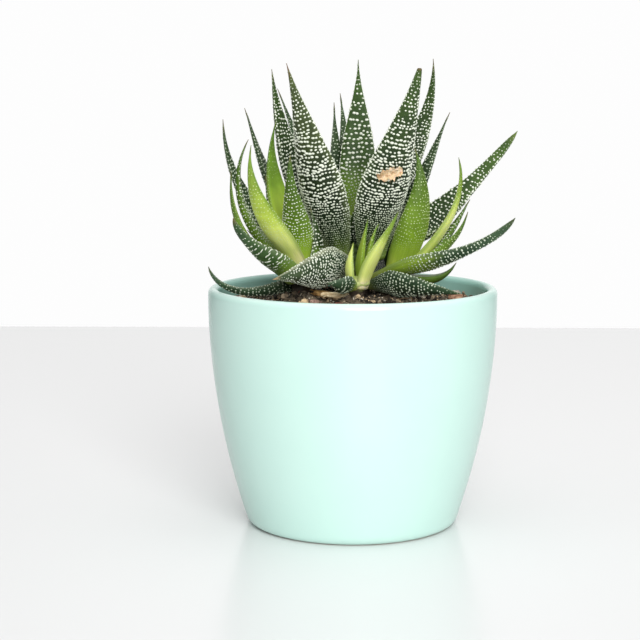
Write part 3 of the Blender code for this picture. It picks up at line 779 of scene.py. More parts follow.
def tubercle_tree():
    """Sets a low dome on each seat of a leaf, drawn out across it, and gives both their finish."""
    tree, given = set_up_tree("set_tubercles", (
        ("Bead Sides", "NodeSocketInt", 6),
        ("Bead Rings", "NodeSocketInt", 4),
        ("Length Ratio", "NodeSocketFloat", 0.92),
        ("Height Ratio", "NodeSocketFloat", 0.80),
        ("Sunk", "NodeSocketFloat", -0.10),
        ("Uneven", "NodeSocketFloat", 0.12),
        ("Seed", "NodeSocketInt", 1),
        ("Skin", "NodeSocketMaterial", None),
        ("Bead", "NodeSocketMaterial", None),
    ))
    seat = named_value(tree, "BOOLEAN", "seat")
    parts = add(tree, "GeometryNodeSeparateGeometry", {
        "Geometry": given["Geometry"], "Selection": seat,
    }, domain="POINT")
    ball = add(tree, "GeometryNodeMeshUVSphere", {
        "Segments": given["Bead Sides"], "Rings": given["Bead Rings"], "Radius": 0.5,
    })
    place = add(tree, "GeometryNodeInputPosition").outputs[0]
    level = add(tree, "ShaderNodeSeparateXYZ", {0: place}).outputs["Z"]
    below = math_of(tree, "LESS_THAN", level, given["Sunk"])
    dome = add(tree, "GeometryNodeDeleteGeometry", {
        "Geometry": ball.outputs["Mesh"], "Selection": below,
    }, domain="POINT")
    dome = add(tree, "GeometryNodeConvexHull", {0: dome.outputs[0]})
    dome = add(tree, "GeometryNodeStoreNamedAttribute", {
        "Geometry": dome.outputs[0], "Name": "crest", "Value": level,
    }, data_type="FLOAT", domain="POINT")
    dome = add(tree, "GeometryNodeTransform", {"Geometry": dome.outputs[0], "Translation": (0.0, 0.0, -0.08)})
    dome = add(tree, "GeometryNodeSetShadeSmooth", {0: dome.outputs[0]})
    up = add(tree, "FunctionNodeAlignRotationToVector", {
        "Vector": named_value(tree, "FLOAT_VECTOR", "outward"),
    }, axis="Z")
    turned = add(tree, "FunctionNodeAlignRotationToVector", {
        "Rotation": up.outputs[0], "Vector": named_value(tree, "FLOAT_VECTOR", "across"),
    }, axis="X", pivot_axis="Z")
    uneven = add(tree, "FunctionNodeRandomValue", {
        "Min": math_of(tree, "SUBTRACT", 1.0, given["Uneven"]),
        "Max": math_of(tree, "ADD", 1.0, given["Uneven"]),
        "Seed": given["Seed"],
    }, data_type="FLOAT")
    size = named_value(tree, "FLOAT", "size")
    varied = math_of(tree, "MULTIPLY", size, uneven.outputs[1])
    scale = add(tree, "ShaderNodeCombineXYZ", {
        "X": math_of(tree, "MULTIPLY", size, named_value(tree, "FLOAT", "stretch")),
        "Y": math_of(tree, "MULTIPLY", varied, given["Length Ratio"]),
        "Z": math_of(tree, "MULTIPLY", varied, given["Height Ratio"]),
    })
    beads = add(tree, "GeometryNodeInstanceOnPoints", {
        "Points": parts.outputs["Selection"],
        "Instance": dome.outputs[0],
        "Rotation": turned.outputs[0],
        "Scale": scale.outputs[0],
    })
    tone = add(tree, "FunctionNodeRandomValue", {
        "Seed": math_of(tree, "ADD", given["Seed"], 7.0),
    }, data_type="FLOAT")
    beads = add(tree, "GeometryNodeStoreNamedAttribute", {
        "Geometry": beads.outputs[0], "Name": "tone", "Value": tone.outputs[1],
    }, data_type="FLOAT", domain="INSTANCE")
    beads = add(tree, "GeometryNodeRealizeInstances", {0: beads.outputs[0]})
    beads = add(tree, "GeometryNodeSetMaterial", {"Geometry": beads.outputs[0], "Material": given["Bead"]})
    skin = add(tree, "GeometryNodeSetMaterial", {
        "Geometry": parts.outputs["Inverted"], "Material": given["Skin"],
    })
    both = add(tree, "GeometryNodeJoinGeometry")
    tree.links.new(skin.outputs[0], both.inputs[0])
    tree.links.new(beads.outputs[0], both.inputs[0])
    result = both.outputs[0]
    for name in ("seat", "outward", "across", "size", "stretch"):
        result = add(tree, "GeometryNodeRemoveAttribute", {"Geometry": result, "Name": name}).outputs[0]
    tree.links.new(result, add(tree, "NodeGroupOutput").inputs[0])
    return tree


def flesh_group():
    """Leaf flesh, from its low to its high green, with lime foot, pale edge, dry tip and streaks."""
    group, given = shader_group("leaf_flesh", {
        "Low": "Color", "High": "Color", "Foot": "Color",
        "Edge": "Color", "Edge Share": "Float", "Tip": "Color",
    }, {"Colour": "Color", "Height": "Float", "Gloss": "Float"})
    share, lime, edge, dry = (
        add(group, "ShaderNodeAttribute", attribute_name=name).outputs["Fac"]
        for name in ("share", "lime", "edge", "dry")
    )
    where = add(group, "ShaderNodeTexCoord").outputs["Object"]
    grain = add(group, "ShaderNodeUVMap", uv_map="grain").outputs[0]
    fibre_way = add(group, "ShaderNodeMapping", {"Vector": grain, "Scale": (60.0, 1.2, 1.0)}).outputs[0]
    fibre = mottle(group, fibre_way, 1.0, 3.0)
    patch = mottle(group, where, 160.0, 4.0)
    fine = mottle(group, where, 1500.0, 3.0)
    colour = mixed(group, ranged(group, share, 0.28, 0.90), given["Low"], given["High"])
    brighter = mixed(group, 1.0, colour, (1.7, 1.6, 1.5, 1), "MULTIPLY")
    colour = mixed(group, ranged(group, patch, 0.34, 0.72), colour, brighter)
    pale_foot = mixed(group, 1.0, given["Foot"], (1.7, 1.35, 2.4, 1), "MULTIPLY")
    foot = mixed(group, ranged(group, share, 0.0, 0.20, 1.0, 0.0), given["Foot"], pale_foot)
    colour = mixed(group, lime, colour, foot)
    streak = ranged(group, fibre, 0.40, 0.70, 0.30, 0.0)
    colour = mixed(group, streak, colour, given["Low"])
    colour = mixed(group, math_of(group, "MULTIPLY", edge, given["Edge Share"]), colour, given["Edge"])
    dried = math_of(group, "MULTIPLY", dry, ranged(group, patch, 0.2, 0.6, 0.6, 1.0))
    colour = mixed(group, dried, colour, given["Tip"])
    half_fibre = math_of(group, "MULTIPLY", fibre, 0.5)
    height = math_of(group, "ADD", half_fibre, math_of(group, "MULTIPLY", fine, 0.5))
    gloss = ranged(group, fine, 0.3, 0.7, 0.38, 0.52)
    return put_out(group, {"Colour": colour, "Height": height, "Gloss": gloss})


def pearl_group():
    """Skin of the tubercles: pale on the crest, greener where the bead sinks in and near the leaf's ends."""
    group, given = shader_group("tubercle_skin", {"Crest": "Color", "Sunk": "Color"}, {"Colour": "Color"})
    crest, tone, share = (
        add(group, "ShaderNodeAttribute", attribute_name=name).outputs["Fac"]
        for name in ("crest", "tone", "share")
    )
    where = add(group, "ShaderNodeTexCoord").outputs["Object"]
    pale = mixed(group, math_of(group, "MULTIPLY", tone, 0.22), given["Crest"], given["Sunk"])
    cloudy = math_of(group, "MULTIPLY", mottle(group, where, 2500.0, 2.0), 0.12)
    pale = mixed(group, cloudy, pale, given["Sunk"])
    for shade, where_shaded in (
        (0.65, ranged(group, share, 0.10, 0.38, 0.80, 0.0)),
        (0.75, ranged(group, share, 0.78, 0.96, 0.0, 0.75)),
    ):
        shaded = mixed(group, 1.0, given["Sunk"], (shade, shade, shade, 1), "MULTIPLY")
        pale = mixed(group, where_shaded, pale, shaded)
    colour = mixed(group, ranged(group, crest, -0.02, 0.16), given["Sunk"], pale)
    return put_out(group, {"Colour": colour})


LEAF_FLESH = flesh_group()
TUBERCLE_SKIN = pearl_group()
SET_TUBERCLES = tubercle_tree()


def leaf_finish(name, low, high, foot, edge, tip, edge_share, glow):
    """Waxy flesh, a little of which shines through."""
    made, tree, shader = shader_finish(name)
    flesh = add(tree, "ShaderNodeGroup", node_tree=LEAF_FLESH)
    for socket, value in (("Low", low), ("High", high), ("Foot", foot), ("Edge", edge), ("Tip", tip)):
        flesh.inputs[socket].default_value = (*value, 1.0)
    flesh.inputs["Edge Share"].default_value = edge_share
    tree.links.new(flesh.outputs["Colour"], shader.inputs["Base Color"])
    tree.links.new(flesh.outputs["Gloss"], shader.inputs["Roughness"])
    bumped(tree, shader, flesh.outputs["Height"], 0.25, 0.25 * MM)
    shader.inputs["Subsurface Weight"].default_value = glow
    shader.inputs["Subsurface Radius"].default_value = (0.9, 1.0, 0.25)
    shader.inputs["Subsurface Scale"].default_value = 1.2 * MM
    shader.inputs["Specular IOR Level"].default_value = 0.20
    return made


def tubercle_finish(name, crest, sunk):
    """Hard pearly skin."""
    made, tree, shader = shader_finish(name)
    values = {"Crest": (*crest, 1.0), "Sunk": (*sunk, 1.0)}
    skin = add(tree, "ShaderNodeGroup", values, node_tree=TUBERCLE_SKIN)
    tree.links.new(skin.outputs["Colour"], shader.inputs["Base Color"])
    shader.inputs["Roughness"].default_value = 0.42
    shader.inputs["Specular IOR Level"].default_value = 0.4
    return made


DEEP = (0.008, 0.018, 0.006)
GREYISH = (0.028, 0.054, 0.027)
FOOT_LIME = (0.19, 0.33, 0.04)
PALE_EDGE = (0.16, 0.24, 0.08)
DRY_BROWN = (0.130, 0.095, 0.035)
DRY_OLIVE = (0.10, 0.13, 0.03)
# Low and high green, foot, edge and tip, then how much the edge shows and how much shines through.
FLESH = {
    "dark": (DEEP, (0.040, 0.078, 0.019), FOOT_LIME, (0.13, 0.19, 0.08), DRY_BROWN, 0.30, 0.10),
    "olive": (DEEP, (0.055, 0.080, 0.026), FOOT_LIME, (0.15, 0.19, 0.08), (0.17, 0.08, 0.04), 0.40, 0.10),
    "middle": (
        (0.026, 0.058, 0.012), (0.036, 0.076, 0.016), (0.13, 0.23, 0.02),
        PALE_EDGE, (0.06, 0.09, 0.02), 0.30, 0.12,
    ),
    "bright": (
        (0.014, 0.034, 0.008), (0.055, 0.110, 0.020), (0.22, 0.38, 0.04),
        PALE_EDGE, (0.20, 0.26, 0.07), 0.30, 0.12,
    ),
    "grey": (
        GREYISH, (0.036, 0.074, 0.037), (0.34, 0.50, 0.05),
        (0.16, 0.21, 0.13), (0.06, 0.08, 0.03), 0.35, 0.10,
    ),
    "lying": (
        GREYISH, (0.050, 0.075, 0.038), (0.24, 0.40, 0.04),
        (0.36, 0.38, 0.26), (0.42, 0.28, 0.15), 0.75, 0.10,
    ),
    # Back leaves: a darker, greyer flesh that is painted shade.
    "shaded_back": (
        (0.014, 0.030, 0.010), (0.036, 0.066, 0.027), FOOT_LIME,
        (0.10, 0.15, 0.08), DRY_BROWN, 0.30, 0.10,
    ),
    "slate": (
        (0.052, 0.110, 0.028), (0.022, 0.052, 0.022), (0.25, 0.41, 0.05),
        (0.16, 0.22, 0.10), DRY_BROWN, 0.35, 0.20,
    ),
    "leafy": (
        (0.110, 0.200, 0.018), (0.038, 0.080, 0.015), (0.30, 0.46, 0.04),
        (0.18, 0.28, 0.08), DRY_BROWN, 0.30, 0.25,
    ),
    "mid": (
        (0.170, 0.285, 0.025), (0.040, 0.086, 0.017), (0.38, 0.52, 0.06),
        (0.12, 0.22, 0.04), DRY_BROWN, 0.45, 0.30,
    ),
    "lime": (
        (0.200, 0.335, 0.030), (0.080, 0.170, 0.022), (0.40, 0.54, 0.07),
        (0.10, 0.20, 0.03), DRY_OLIVE, 0.55, 0.35,
    ),
    "pale": (
        (0.480, 0.610, 0.082), (0.085, 0.175, 0.026), (0.74, 0.80, 0.26),
        (0.11, 0.22, 0.03), DRY_OLIVE, 0.60, 0.35,
    ),
}
leaf_flesh = {name: leaf_finish("flesh_" + name, *values) for name, values in FLESH.items()}
tubercle_white = tubercle_finish("tubercle_white", (0.88, 0.91, 0.80), (0.38, 0.48, 0.26))
# Grey tubercles: the low leaves' own greyer dots, and painted shade on the back leaves.
tubercle_grey_and_shaded = tubercle_finish("tubercle_grey_and_shaded", (0.66, 0.73, 0.58), (0.26, 0.33, 0.19))
tubercle_pale = tubercle_finish("tubercle_pale", (0.68, 0.80, 0.42), (0.38, 0.52, 0.13))
BEADS = {name: tubercle_white for name in FLESH}
BEADS.update({name: tubercle_grey_and_shaded for name in ("grey", "shaded_back")})
BEADS.update({name: tubercle_pale for name in ("mid", "lime", "pale")})


def whole_leaf(name, blade, warts, seed, last=1.0):
    """A leaf with its tubercles."""
    seats = wart_seats(blade, warts, seed, min(last, TUBERCLES_TO))
    made = leaf_mesh(name, blade, warts, seats, last)
    finishes = {"Skin": leaf_flesh[warts.flesh], "Bead": BEADS[warts.flesh]}
    return grown(made, SET_TUBERCLES, {"Seed": seed, **finishes})


def stem_gap(leaf):
    """Distance from the axis of the main stem to the foot of a leaf's middle line."""
    lean = max(0.0, math.sin(math.radians(leaf.stem_rise)))
    return STEM_RADIUS + SEAT_GAP + SEAT_SHARE * OUTER_DEPTH * leaf.width * MM * lean


for number, (name, (leaf, warts)) in enumerate(MAIN_LEAVES.items()):
    blade = Blade(leaf, STEM_X, STEM_Y, stem_gap(leaf), MAIN_RINGS, NECK, 11.3 * number)
    last = BROKEN_TIP[1] if name == BROKEN_TIP[0] else 1.0
    made = whole_leaf("rosette_" + name, blade, warts, 100 + number, last)
    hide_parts("leaf_" + name)
    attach(made, "root")


# Main stem: short and woody at the root, green between the leaves. It is ringed with the scars of
# old leaves, and the three small leaves of the growing point close its top.
STEM_FOOT = 66.0 * MM
STEM_TOP = 111.0 * MM
STEM_NECK = SOIL_MIDDLE + 2.0 * MM
STEM_SIDES = 32
STEM_BUD = 0.42
# Near-black bark: partly the stem's own woody brown, partly painted shade under the leaves.
STEM_BARK_AND_SHADE = ((0.012, 0.009, 0.006, 1), (0.055, 0.036, 0.022, 1))
SCAR_DEPTH = 0.06
CLASPED_AT = 91.2 * MM
CLASPED_REACH = 2.3 * MM
HEART_LEAVES = (
    Leaf(30, 101, 70, 84, 90, 18, 8, 0),
    Leaf(150, 101, 70, 84, 90, 15, 8, 0),
    Leaf(268, 101, 75, 86, 92, 16, 7, 0),
)
HEART_WARTS = Warts(1.2, 1.1, 0.60, 0.3, 0.02, 0.05, 0.0, 0.0, "dark")
OFFSET_RINGS = 3.9 * MM
OFFSET_NECK = 0.78


def stem_rings(x, y, radius, foot, top, seed, swell=0.0, bud=0.0):
    """A stem with a thinner root, leaf scars and a domed top.

    It can swell where the lowest leaves clasp it, and its top can be folded like a bud.
    """
    profile = [(0.38 * radius, foot), (0.75 * radius, foot + 0.25 * radius)]
    profile += [(0.75 * radius, STEM_NECK - radius)]
    profile += [(radius, z) for z in steps(STEM_NECK, top - radius, 24)]
    profile += [(0.93 * radius, top - 0.6 * radius), (0.75 * radius, top - 0.25 * radius)]
    profile += [(0.35 * radius, top)]
    rings = []
    for reach, height in profile:
        closed = smooth_step(top - 2.6 * radius, top - 0.8 * radius, height)
        clasped = swell * math.exp(-((height - CLASPED_AT) / CLASPED_REACH) ** 2)
        ring = []
        for k in range(STEM_SIDES):
            angle = math.tau * k / STEM_SIDES
            scar = SCAR_DEPTH * (1.0 - swell) * math.sin(height / MM * 2.6 + 1.5 * math.sin(2 * angle + seed))
            fold = bud * closed * (0.5 + 0.5 * math.cos(3 * angle + 0.5 * height / radius)) ** 5
            place = Vector((2 * math.cos(angle), 2 * math.sin(angle), height / (2 * MM) + seed))
            r = reach * (0.93 + scar + 0.05 * noise.noise(place) + clasped - fold)
            ring.append(Vector((x + r * math.cos(angle), y + r * math.sin(angle), height)))
        rings.append(ring)
    return rings


def stem_group():
    """Stem skin: earthy bark, darkened further as painted shade, up to a height, and green above it."""
    inputs = {"Green From": "Float", "Green": "Color"}
    group, given = shader_group("stem_skin", inputs, {"Colour": "Color", "Height": "Float"})
    where = add(group, "ShaderNodeTexCoord").outputs["Object"]
    height = add(group, "ShaderNodeSeparateXYZ", {0: where}).outputs["Z"]
    rough = mottle(group, where, 500.0, 5.0)
    # Painted shade: the bark colour below the green is darkened to stand in for the shade under the leaves.
    bark = mixed(group, rough, *STEM_BARK_AND_SHADE)
    dull = mixed(group, 1.0, given["Green"], (0.6, 0.6, 0.6, 1), "MULTIPLY")
    green = mixed(group, rough, dull, given["Green"])
    woody = math_of(group, "ADD", height, math_of(group, "MULTIPLY", rough, 3 * MM))
    all_green = math_of(group, "ADD", given["Green From"], 3 * MM)
    colour = mixed(group, ranged(group, woody, given["Green From"], all_green), bark, green)
    return put_out(group, {"Colour": colour, "Height": rough})


STEM_SKIN = stem_group()


def stem_finish(name, green_from, green):
    made, tree, shader = shader_finish(name)
    skin = add(tree, "ShaderNodeGroup", {"Green From": green_from, "Green": (*green, 1)}, node_tree=STEM_SKIN)
    tree.links.new(skin.outputs["Colour"], shader.inputs["Base Color"])
    shader.inputs["Roughness"].default_value = 0.65
    bumped(tree, shader, skin.outputs["Height"], 0.5, 0.4 * MM)
    return made


stem_green = stem_finish("stem_green", 92 * MM, (0.09, 0.15, 0.03))
rings = stem_rings(STEM_X, STEM_Y, STEM_RADIUS, STEM_FOOT, STEM_TOP, 1.0, bud=STEM_BUD)
parts = [mesh_piece("stem_core", *skinned(rings), stem_green)]
for number, leaf in enumerate(HEART_LEAVES):
    blade = Blade(leaf, STEM_X, STEM_Y, 0.5 * STEM_RADIUS, OFFSET_RINGS, OFFSET_NECK, 5.1 * number)
    parts.append(whole_leaf(f"heart_{number}", blade, HEART_WARTS, 300 + number))
heart = joined("stem_and_heart", parts)
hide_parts("main_stem")
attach(heart, "root")


# Three offsets: young plants that came up beside the main stem, each one short stem with its
# leaves round it. Some leaves are lime green and nearly smooth, others dark with rows of dots.
# The stem swells by a share of its radius where its leaves clasp it, and is green from a height up.
Offset = namedtuple("Offset", "x y radius top swell green_from green leaves")
GREEN_STEM = (0.30, 0.40, 0.10)
CREAM_STEM = (0.62, 0.70, 0.24)
OFFSET_DEPTH = 16.0 * MM
DOTTED = Warts(1.45, 1.35, 0.80, 0.35, 0.12, 0.15, 0.10, 0.15, "dark")
FINE = DOTTED._replace(size=0.72)
STREAKY = Warts(1.8, 1.6, 0.60, 2.6, 0.28, 0.30, 0.26, 0.30, "slate")
LEAFY = Warts(1.25, 1.10, 0.54, 0.45, 0.16, 0.22, 0.24, 0.28, "leafy")
YOUNG = Warts(1.28, 1.16, 0.47, 0.20, 0.22, 0.35, 0.35, 0.45, "mid")
SMOOTH = Warts(1.50, 1.40, 0.37, 0.10, 0.40, 0.60, 0.60, 0.80, "lime")
BARE = SMOOTH._replace(outer_from=0.96, inner_from=0.96, outer_lime=0.05, inner_lime=0.05, flesh="leafy")
OFFSETS = {
    "offset_left": Offset(-18.5, -13.2, 3.2, 99, 0.20, 93, GREEN_STEM, (
        (Leaf(212, 92, 55, 30, 75, 34, 16, 0, 2.0), STREAKY),
        (Leaf(183, 93, 24, 61, 97, 46, 8, 0), SMOOTH._replace(outer_lime=0.35, flesh="mid")),
        (
            Leaf(178, 95, 38, 69, 124, 53, 9, 0),
            DOTTED._replace(size=0.58, outer_from=0.22, outer_lime=0.18, flesh="leafy"),
        ),
        (Leaf(232, 97, 53, 52, 112, 51, 11, 0), YOUNG._replace(size=0.42, outer_from=0.14, flesh="pale")),
        (Leaf(155, 96, 70, 64, 92, 34, 8, 0), DOTTED._replace(size=0.65)),
        (Leaf(140, 97, 73, 73, 117, 52, 11, 0), SMOOTH._replace(inner_lime=0.45)),
        (Leaf(256, 94.5, 100, 59, 116, 44, 11, 0, 1.5), LEAFY),
        (Leaf(338, 94, 46, 96, 102, 24, 7, 0), FINE._replace(outer_from=0.25, outer_lime=0.35)),
    )),
    "offset_right": Offset(15.3, 4.7, 3.0, 95, 0.20, 91, GREEN_STEM, (
        (Leaf(262, 92, 60, 95, 105, 27, 7, 0), FINE._replace(outer_from=0.38, outer_lime=0.0)),
        (Leaf(307, 92.5, 66, 72, 130, 48, 14, 0), YOUNG._replace(outer_from=0.20, outer_lime=0.22)),
        (Leaf(352, 91, 46, 60, 108, 50, 9, 0, 1.0), SMOOTH._replace(flesh="pale")),
        (
            Leaf(10, 91.5, 30, 47, 60, 38, 10, 0),
            DOTTED._replace(size=0.62, outer_from=0.22, outer_lime=0.20, flesh="leafy"),
        ),
        (Leaf(340, 91, 36, 37, 83, 36, 9, 0), YOUNG),
        (Leaf(5, 90, 2, 9, 76, 23, 10, 0), BARE),
    )),
    "offset_front": Offset(1.5, -21, 2.8, 93, 0.85, 89.0, CREAM_STEM, (
        (Leaf(200, 90, 78, 95, 100, 15, 6, 0), SMOOTH._replace(outer_lime=1.2, flesh="pale")),
        (Leaf(20, 89.5, 102, 77, 79, 24, 6, 0, 1.0), SMOOTH),
        (Leaf(10, 89.5, 80, 74, 53, 23, 6, 0), SMOOTH._replace(size=0.5, outer_from=0.30)),
        (Leaf(335, 89, 79, 56, 65, 31, 9, 0, 1.0), SMOOTH._replace(flesh="pale")),
        (Leaf(212, 90, 10, 5, -10, 11, 9, 40), DOTTED._replace(row=1.3, size=0.6, dash=1.6, flesh="grey")),
    )),
}

for name, offset in OFFSETS.items():
    x, y, radius = offset.x * MM, offset.y * MM, offset.radius * MM
    foot = SOIL_MIDDLE - OFFSET_DEPTH
    rings = stem_rings(x, y, radius, foot, offset.top * MM, offset.x, offset.swell)
    skin = stem_finish(name + "_stem", offset.green_from * MM, offset.green)
    parts = [mesh_piece(name + "_core", *skinned(rings), skin)]
    for number, (leaf, warts) in enumerate(offset.leaves):
        blade = Blade(leaf, x, y, 0.5 * radius, OFFSET_RINGS, OFFSET_NECK, 3.7 * number + offset.x)
        parts.append(whole_leaf(f"{name}_{number}", blade, warts, 500 + 10 * number + len(name)))
    young = joined("young_" + name, parts)
    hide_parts(name)
    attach(young, "root")


# Bark chips and one stick in the mix: torn by a shredder along the fibre, so the ends are frayed
# and the faces furrowed. Each lies loose, sunk a little into the soil.
Chip = namedtuple("Chip", "x y length width depth turn tilt lift dark light")
CHIPS = {
    "bark_chip_orange": Chip(-10.5, -11, 7, 4, 2.2, 20, 10, 1.4, (0.28, 0.12, 0.04), (0.90, 0.55, 0.20)),
    "bark_stick": Chip(-5.0, -17, 13, 2.6, 2.0, 35, 8, 1.9, (0.66, 0.46, 0.24), (0.98, 0.84, 0.56)),
    "bark_chip_red": Chip(-3.5, -27, 5, 3, 1.8, 10, 5, 0.8, (0.06, 0.020, 0.014), (0.30, 0.085, 0.050)),
    "bark_chip_pink": Chip(-13.5, -21, 5, 3.5, 2.0, 60, 10, 0.8, (0.18, 0.10, 0.080), (0.50, 0.32, 0.26)),
    "bark_chip_right": Chip(38, 6, 6, 4, 3.0, 40, 15, 0.8, (0.24, 0.11, 0.060), (0.68, 0.42, 0.27)),
}
CHIP_SUNK = 0.35
CHIP_UNEVEN = 0.22
CHIP_SIDES = 48
CHIP_CORNERS = 6
CHIP_SECTION = (
    [(-0.5, share) for share in (0.2, 0.45, 0.7, 0.9)]
    + [(-0.42, 0.98), (-0.2, 1.0), (0.05, 1.0), (0.3, 1.0), (0.44, 0.97)]
    + [(0.5, share) for share in (0.9, 0.7, 0.45, 0.2)]
)
FURROW = 0.35 * MM
FRAYS = 14


def wood_group(fibre_scale=(160.0, 1500.0, 1100.0)):
    """Wood fibre that runs along a chip turned by an angle, with dark stains."""
    inputs = {"Turn": "Float", "Dark": "Color", "Light": "Color"}
    group, given = shader_group("wood_fibre", inputs, {"Colour": "Color", "Height": "Float"})
    where = add(group, "ShaderNodeTexCoord").outputs["Object"]
    back = math_of(group, "MULTIPLY", given["Turn"], -1.0)
    turn_back = add(group, "ShaderNodeCombineXYZ", {"Z": back}).outputs[0]
    along = add(group, "ShaderNodeMapping", {"Vector": where, "Rotation": turn_back}).outputs[0]
    along = add(group, "ShaderNodeMapping", {"Vector": along, "Scale": fibre_scale}).outputs[0]
    fibre = mottle(group, along, 1.0, 4.0, 0.6)
    colour = mixed(group, ranged(group, fibre, 0.32, 0.66), given["Dark"], given["Light"])
    stain = mottled(group, where, 350.0, 3.0, patches=(0.52, 0.70, 0.0, 0.6))["Patches"]
    darker = mixed(group, 1.0, given["Dark"], (0.7, 0.7, 0.7, 1), "MULTIPLY")
    return put_out(group, {"Colour": mixed(group, stain, colour, darker), "Height": fibre})


WOOD_FIBRE = wood_group()


def wood_finish(name, chip):
    made, tree, shader = shader_finish(name)
    values = {"Turn": math.radians(chip.turn), "Dark": (*chip.dark, 1), "Light": (*chip.light, 1)}
    fibre = add(tree, "ShaderNodeGroup", values, node_tree=WOOD_FIBRE)
    tree.links.new(fibre.outputs["Colour"], shader.inputs["Base Color"])
    shader.inputs["Roughness"].default_value = 0.8
    bumped(tree, shader, fibre.outputs["Height"], 0.7, 0.25 * MM)
    return made


def chip_corner(chip, k, level):
    """A corner of the chip, seen from above, at a level between its underside and its top."""
    k = k % CHIP_CORNERS
    angle = math.tau * k / CHIP_CORNERS
    uneven = 0.5 * (1.0 + CHIP_UNEVEN * math.sin(2.7 * k + chip.length) - 0.1 * level)
    return Vector((chip.length * uneven * math.cos(angle), chip.width * uneven * math.sin(angle), 0.0)) * MM


def chip_rings(chip, seed):
    """Rings over the underside, up the torn edge and over the top, before the chip is laid down."""
    rings = []
    for level, share in CHIP_SECTION:
        ring = []
        for side in range(CHIP_SIDES):
            first, part = divmod(CHIP_CORNERS * side / CHIP_SIDES, 1.0)
            edge = chip_corner(chip, first, level).lerp(chip_corner(chip, first + 1, level), part)
            torn = 1.0 + 0.10 * noise.noise(Vector((edge.y / (0.5 * MM), 2.0 * level, seed)))
            point = Vector((edge.x * torn, edge.y, 0.0)) * share
            furrow = noise.noise(Vector((point.x / (6 * MM), point.y / (0.55 * MM), seed + level)))
            bend = 0.25 * noise.noise(Vector((point.x / (3 * MM), 0.0, seed)))
            crown = level * chip.depth * MM * (1.0 - 0.25 * share * share)
            ring.append(point + Vector((0.0, 0.0, crown + FURROW * (furrow + bend))))
        rings.append(ring)
    return rings


def frayed_ends(chip, dice):
    """Torn fibres that stand out from both ends, each with its thickness."""
    frays = []
    for _ in range(FRAYS):
        end = dice.choice((-1.0, 1.0))
        across, level = dice.uniform(-0.36, 0.36) * chip.width, dice.uniform(-0.2, 0.3) * chip.depth
        start = Vector((0.40 * end * chip.length, across, level)) * MM
        out = Vector((end, dice.uniform(-0.5, 0.5), dice.uniform(-0.1, 0.5))) * dice.uniform(0.9, 2.4) * MM
        droop = Vector((0.0, 0.0, -0.5 * MM))
        line = [start + out * share + droop * share * share for share in steps(0.0, 1.0, 5)]
        frays.append((line, dice.uniform(0.08, 0.20) * MM))
    return frays


for number, (name, chip) in enumerate(CHIPS.items()):
    wood = wood_finish(name + "_wood", chip)
    x, y = chip.x * MM, chip.y * MM
    height = soil_height(x, y) + ((0.5 - CHIP_SUNK) * chip.depth + chip.lift) * MM
    laid = Matrix.Translation((x, y, height)) @ Matrix.Rotation(math.radians(chip.turn), 4, "Z")
    laid = laid @ Matrix.Rotation(math.radians(chip.tilt), 4, "Y")
    rings = [[laid @ point for point in ring] for ring in chip_rings(chip, 4.3 * number)]
    frays = frayed_ends(chip, random.Random(70 + number))
    frays = [([laid @ point for point in line], thick) for line, thick in frays]
    scrap = joined("torn_" + name, [mesh_piece(name, *skinned(rings), wood), threads("frays", frays, wood)])
    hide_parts(name)
    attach(scrap, "root")


# Husk: a scrap of dry papery skin from a fallen flower stalk, stuck to the face of the broken leaf.
# It dried crumpled, with torn edges and loose hairs.
HUSK_LEAF = "front_right"
HUSK_ALONG = 0.46
HUSK_ROUND = -115.0
HUSK_LENGTH = 9.0 * MM
HUSK_WIDTH = 4.4 * MM
HUSK_TURN = 64.0
HUSK_BEND = -2.5 * MM
HUSK_REST = 0.8 * MM
HUSK_RAGGED = 0.2
HUSK_RAGS = 19.0
HUSK_PAPER = 0.14 * MM
HUSK_CRUMPLES = ((0.45 * MM, 7.0, 2.2, 5.0), (0.30 * MM, 17.0, 5.0, 9.0))
HUSK_HAIRS = 22
HUSK_BROWNS = ((0.48, 0.27, 0.12, 1), (0.88, 0.66, 0.41, 1))
HUSK_BLEACHED = (0.88, 0.72, 0.55, 1)

dry_husk, tree, shader = shader_finish("dry_husk")
where = add(tree, "ShaderNodeTexCoord").outputs["Object"]
fine = mottle(tree, where, 900.0, 4.0, 0.65)
colour = mixed(tree, ranged(tree, fine, 0.30, 0.62), *HUSK_BROWNS)
bleached = mottled(tree, where, 320.0, 3.0, patches=(0.52, 0.68, 0.0, 0.65))["Patches"]
colour = mixed(tree, bleached, colour, HUSK_BLEACHED)
tree.links.new(colour, shader.inputs["Base Color"])
shader.inputs["Roughness"].default_value = 0.75
shader.inputs["Subsurface Weight"].default_value = 0.15
shader.inputs["Subsurface Scale"].default_value = 0.5 * MM
bumped(tree, shader, fine, 0.6, 0.3 * MM)

leaf = MAIN_LEAVES[HUSK_LEAF][0]
blade = Blade(leaf, STEM_X, STEM_Y, stem_gap(leaf), leaf.length * MM / 100, NECK, 0.0)
along = blade.along(HUSK_ALONG)
up = along.cross(blade.side)
wide = blade_width(HUSK_ALONG, leaf.fullness, NECK)
depth = OUTER_DEPTH * leaf.width * MM * wide ** OUTER_TAPER
half_width = 0.5 * leaf.width * MM * wide
angle = math.radians(HUSK_ROUND)
stuck_at = blade.centre(HUSK_ALONG) + blade.side * half_width * math.cos(angle) + up * depth * math.sin(angle)
outward = (blade.side * depth * math.cos(angle) + up * half_width * math.sin(angle)).normalized()
across = along.cross(outward)
turn = math.radians(HUSK_TURN)
length_way = along * math.cos(turn) + across * math.sin(turn)
width_way = across * math.cos(turn) - along * math.sin(turn)


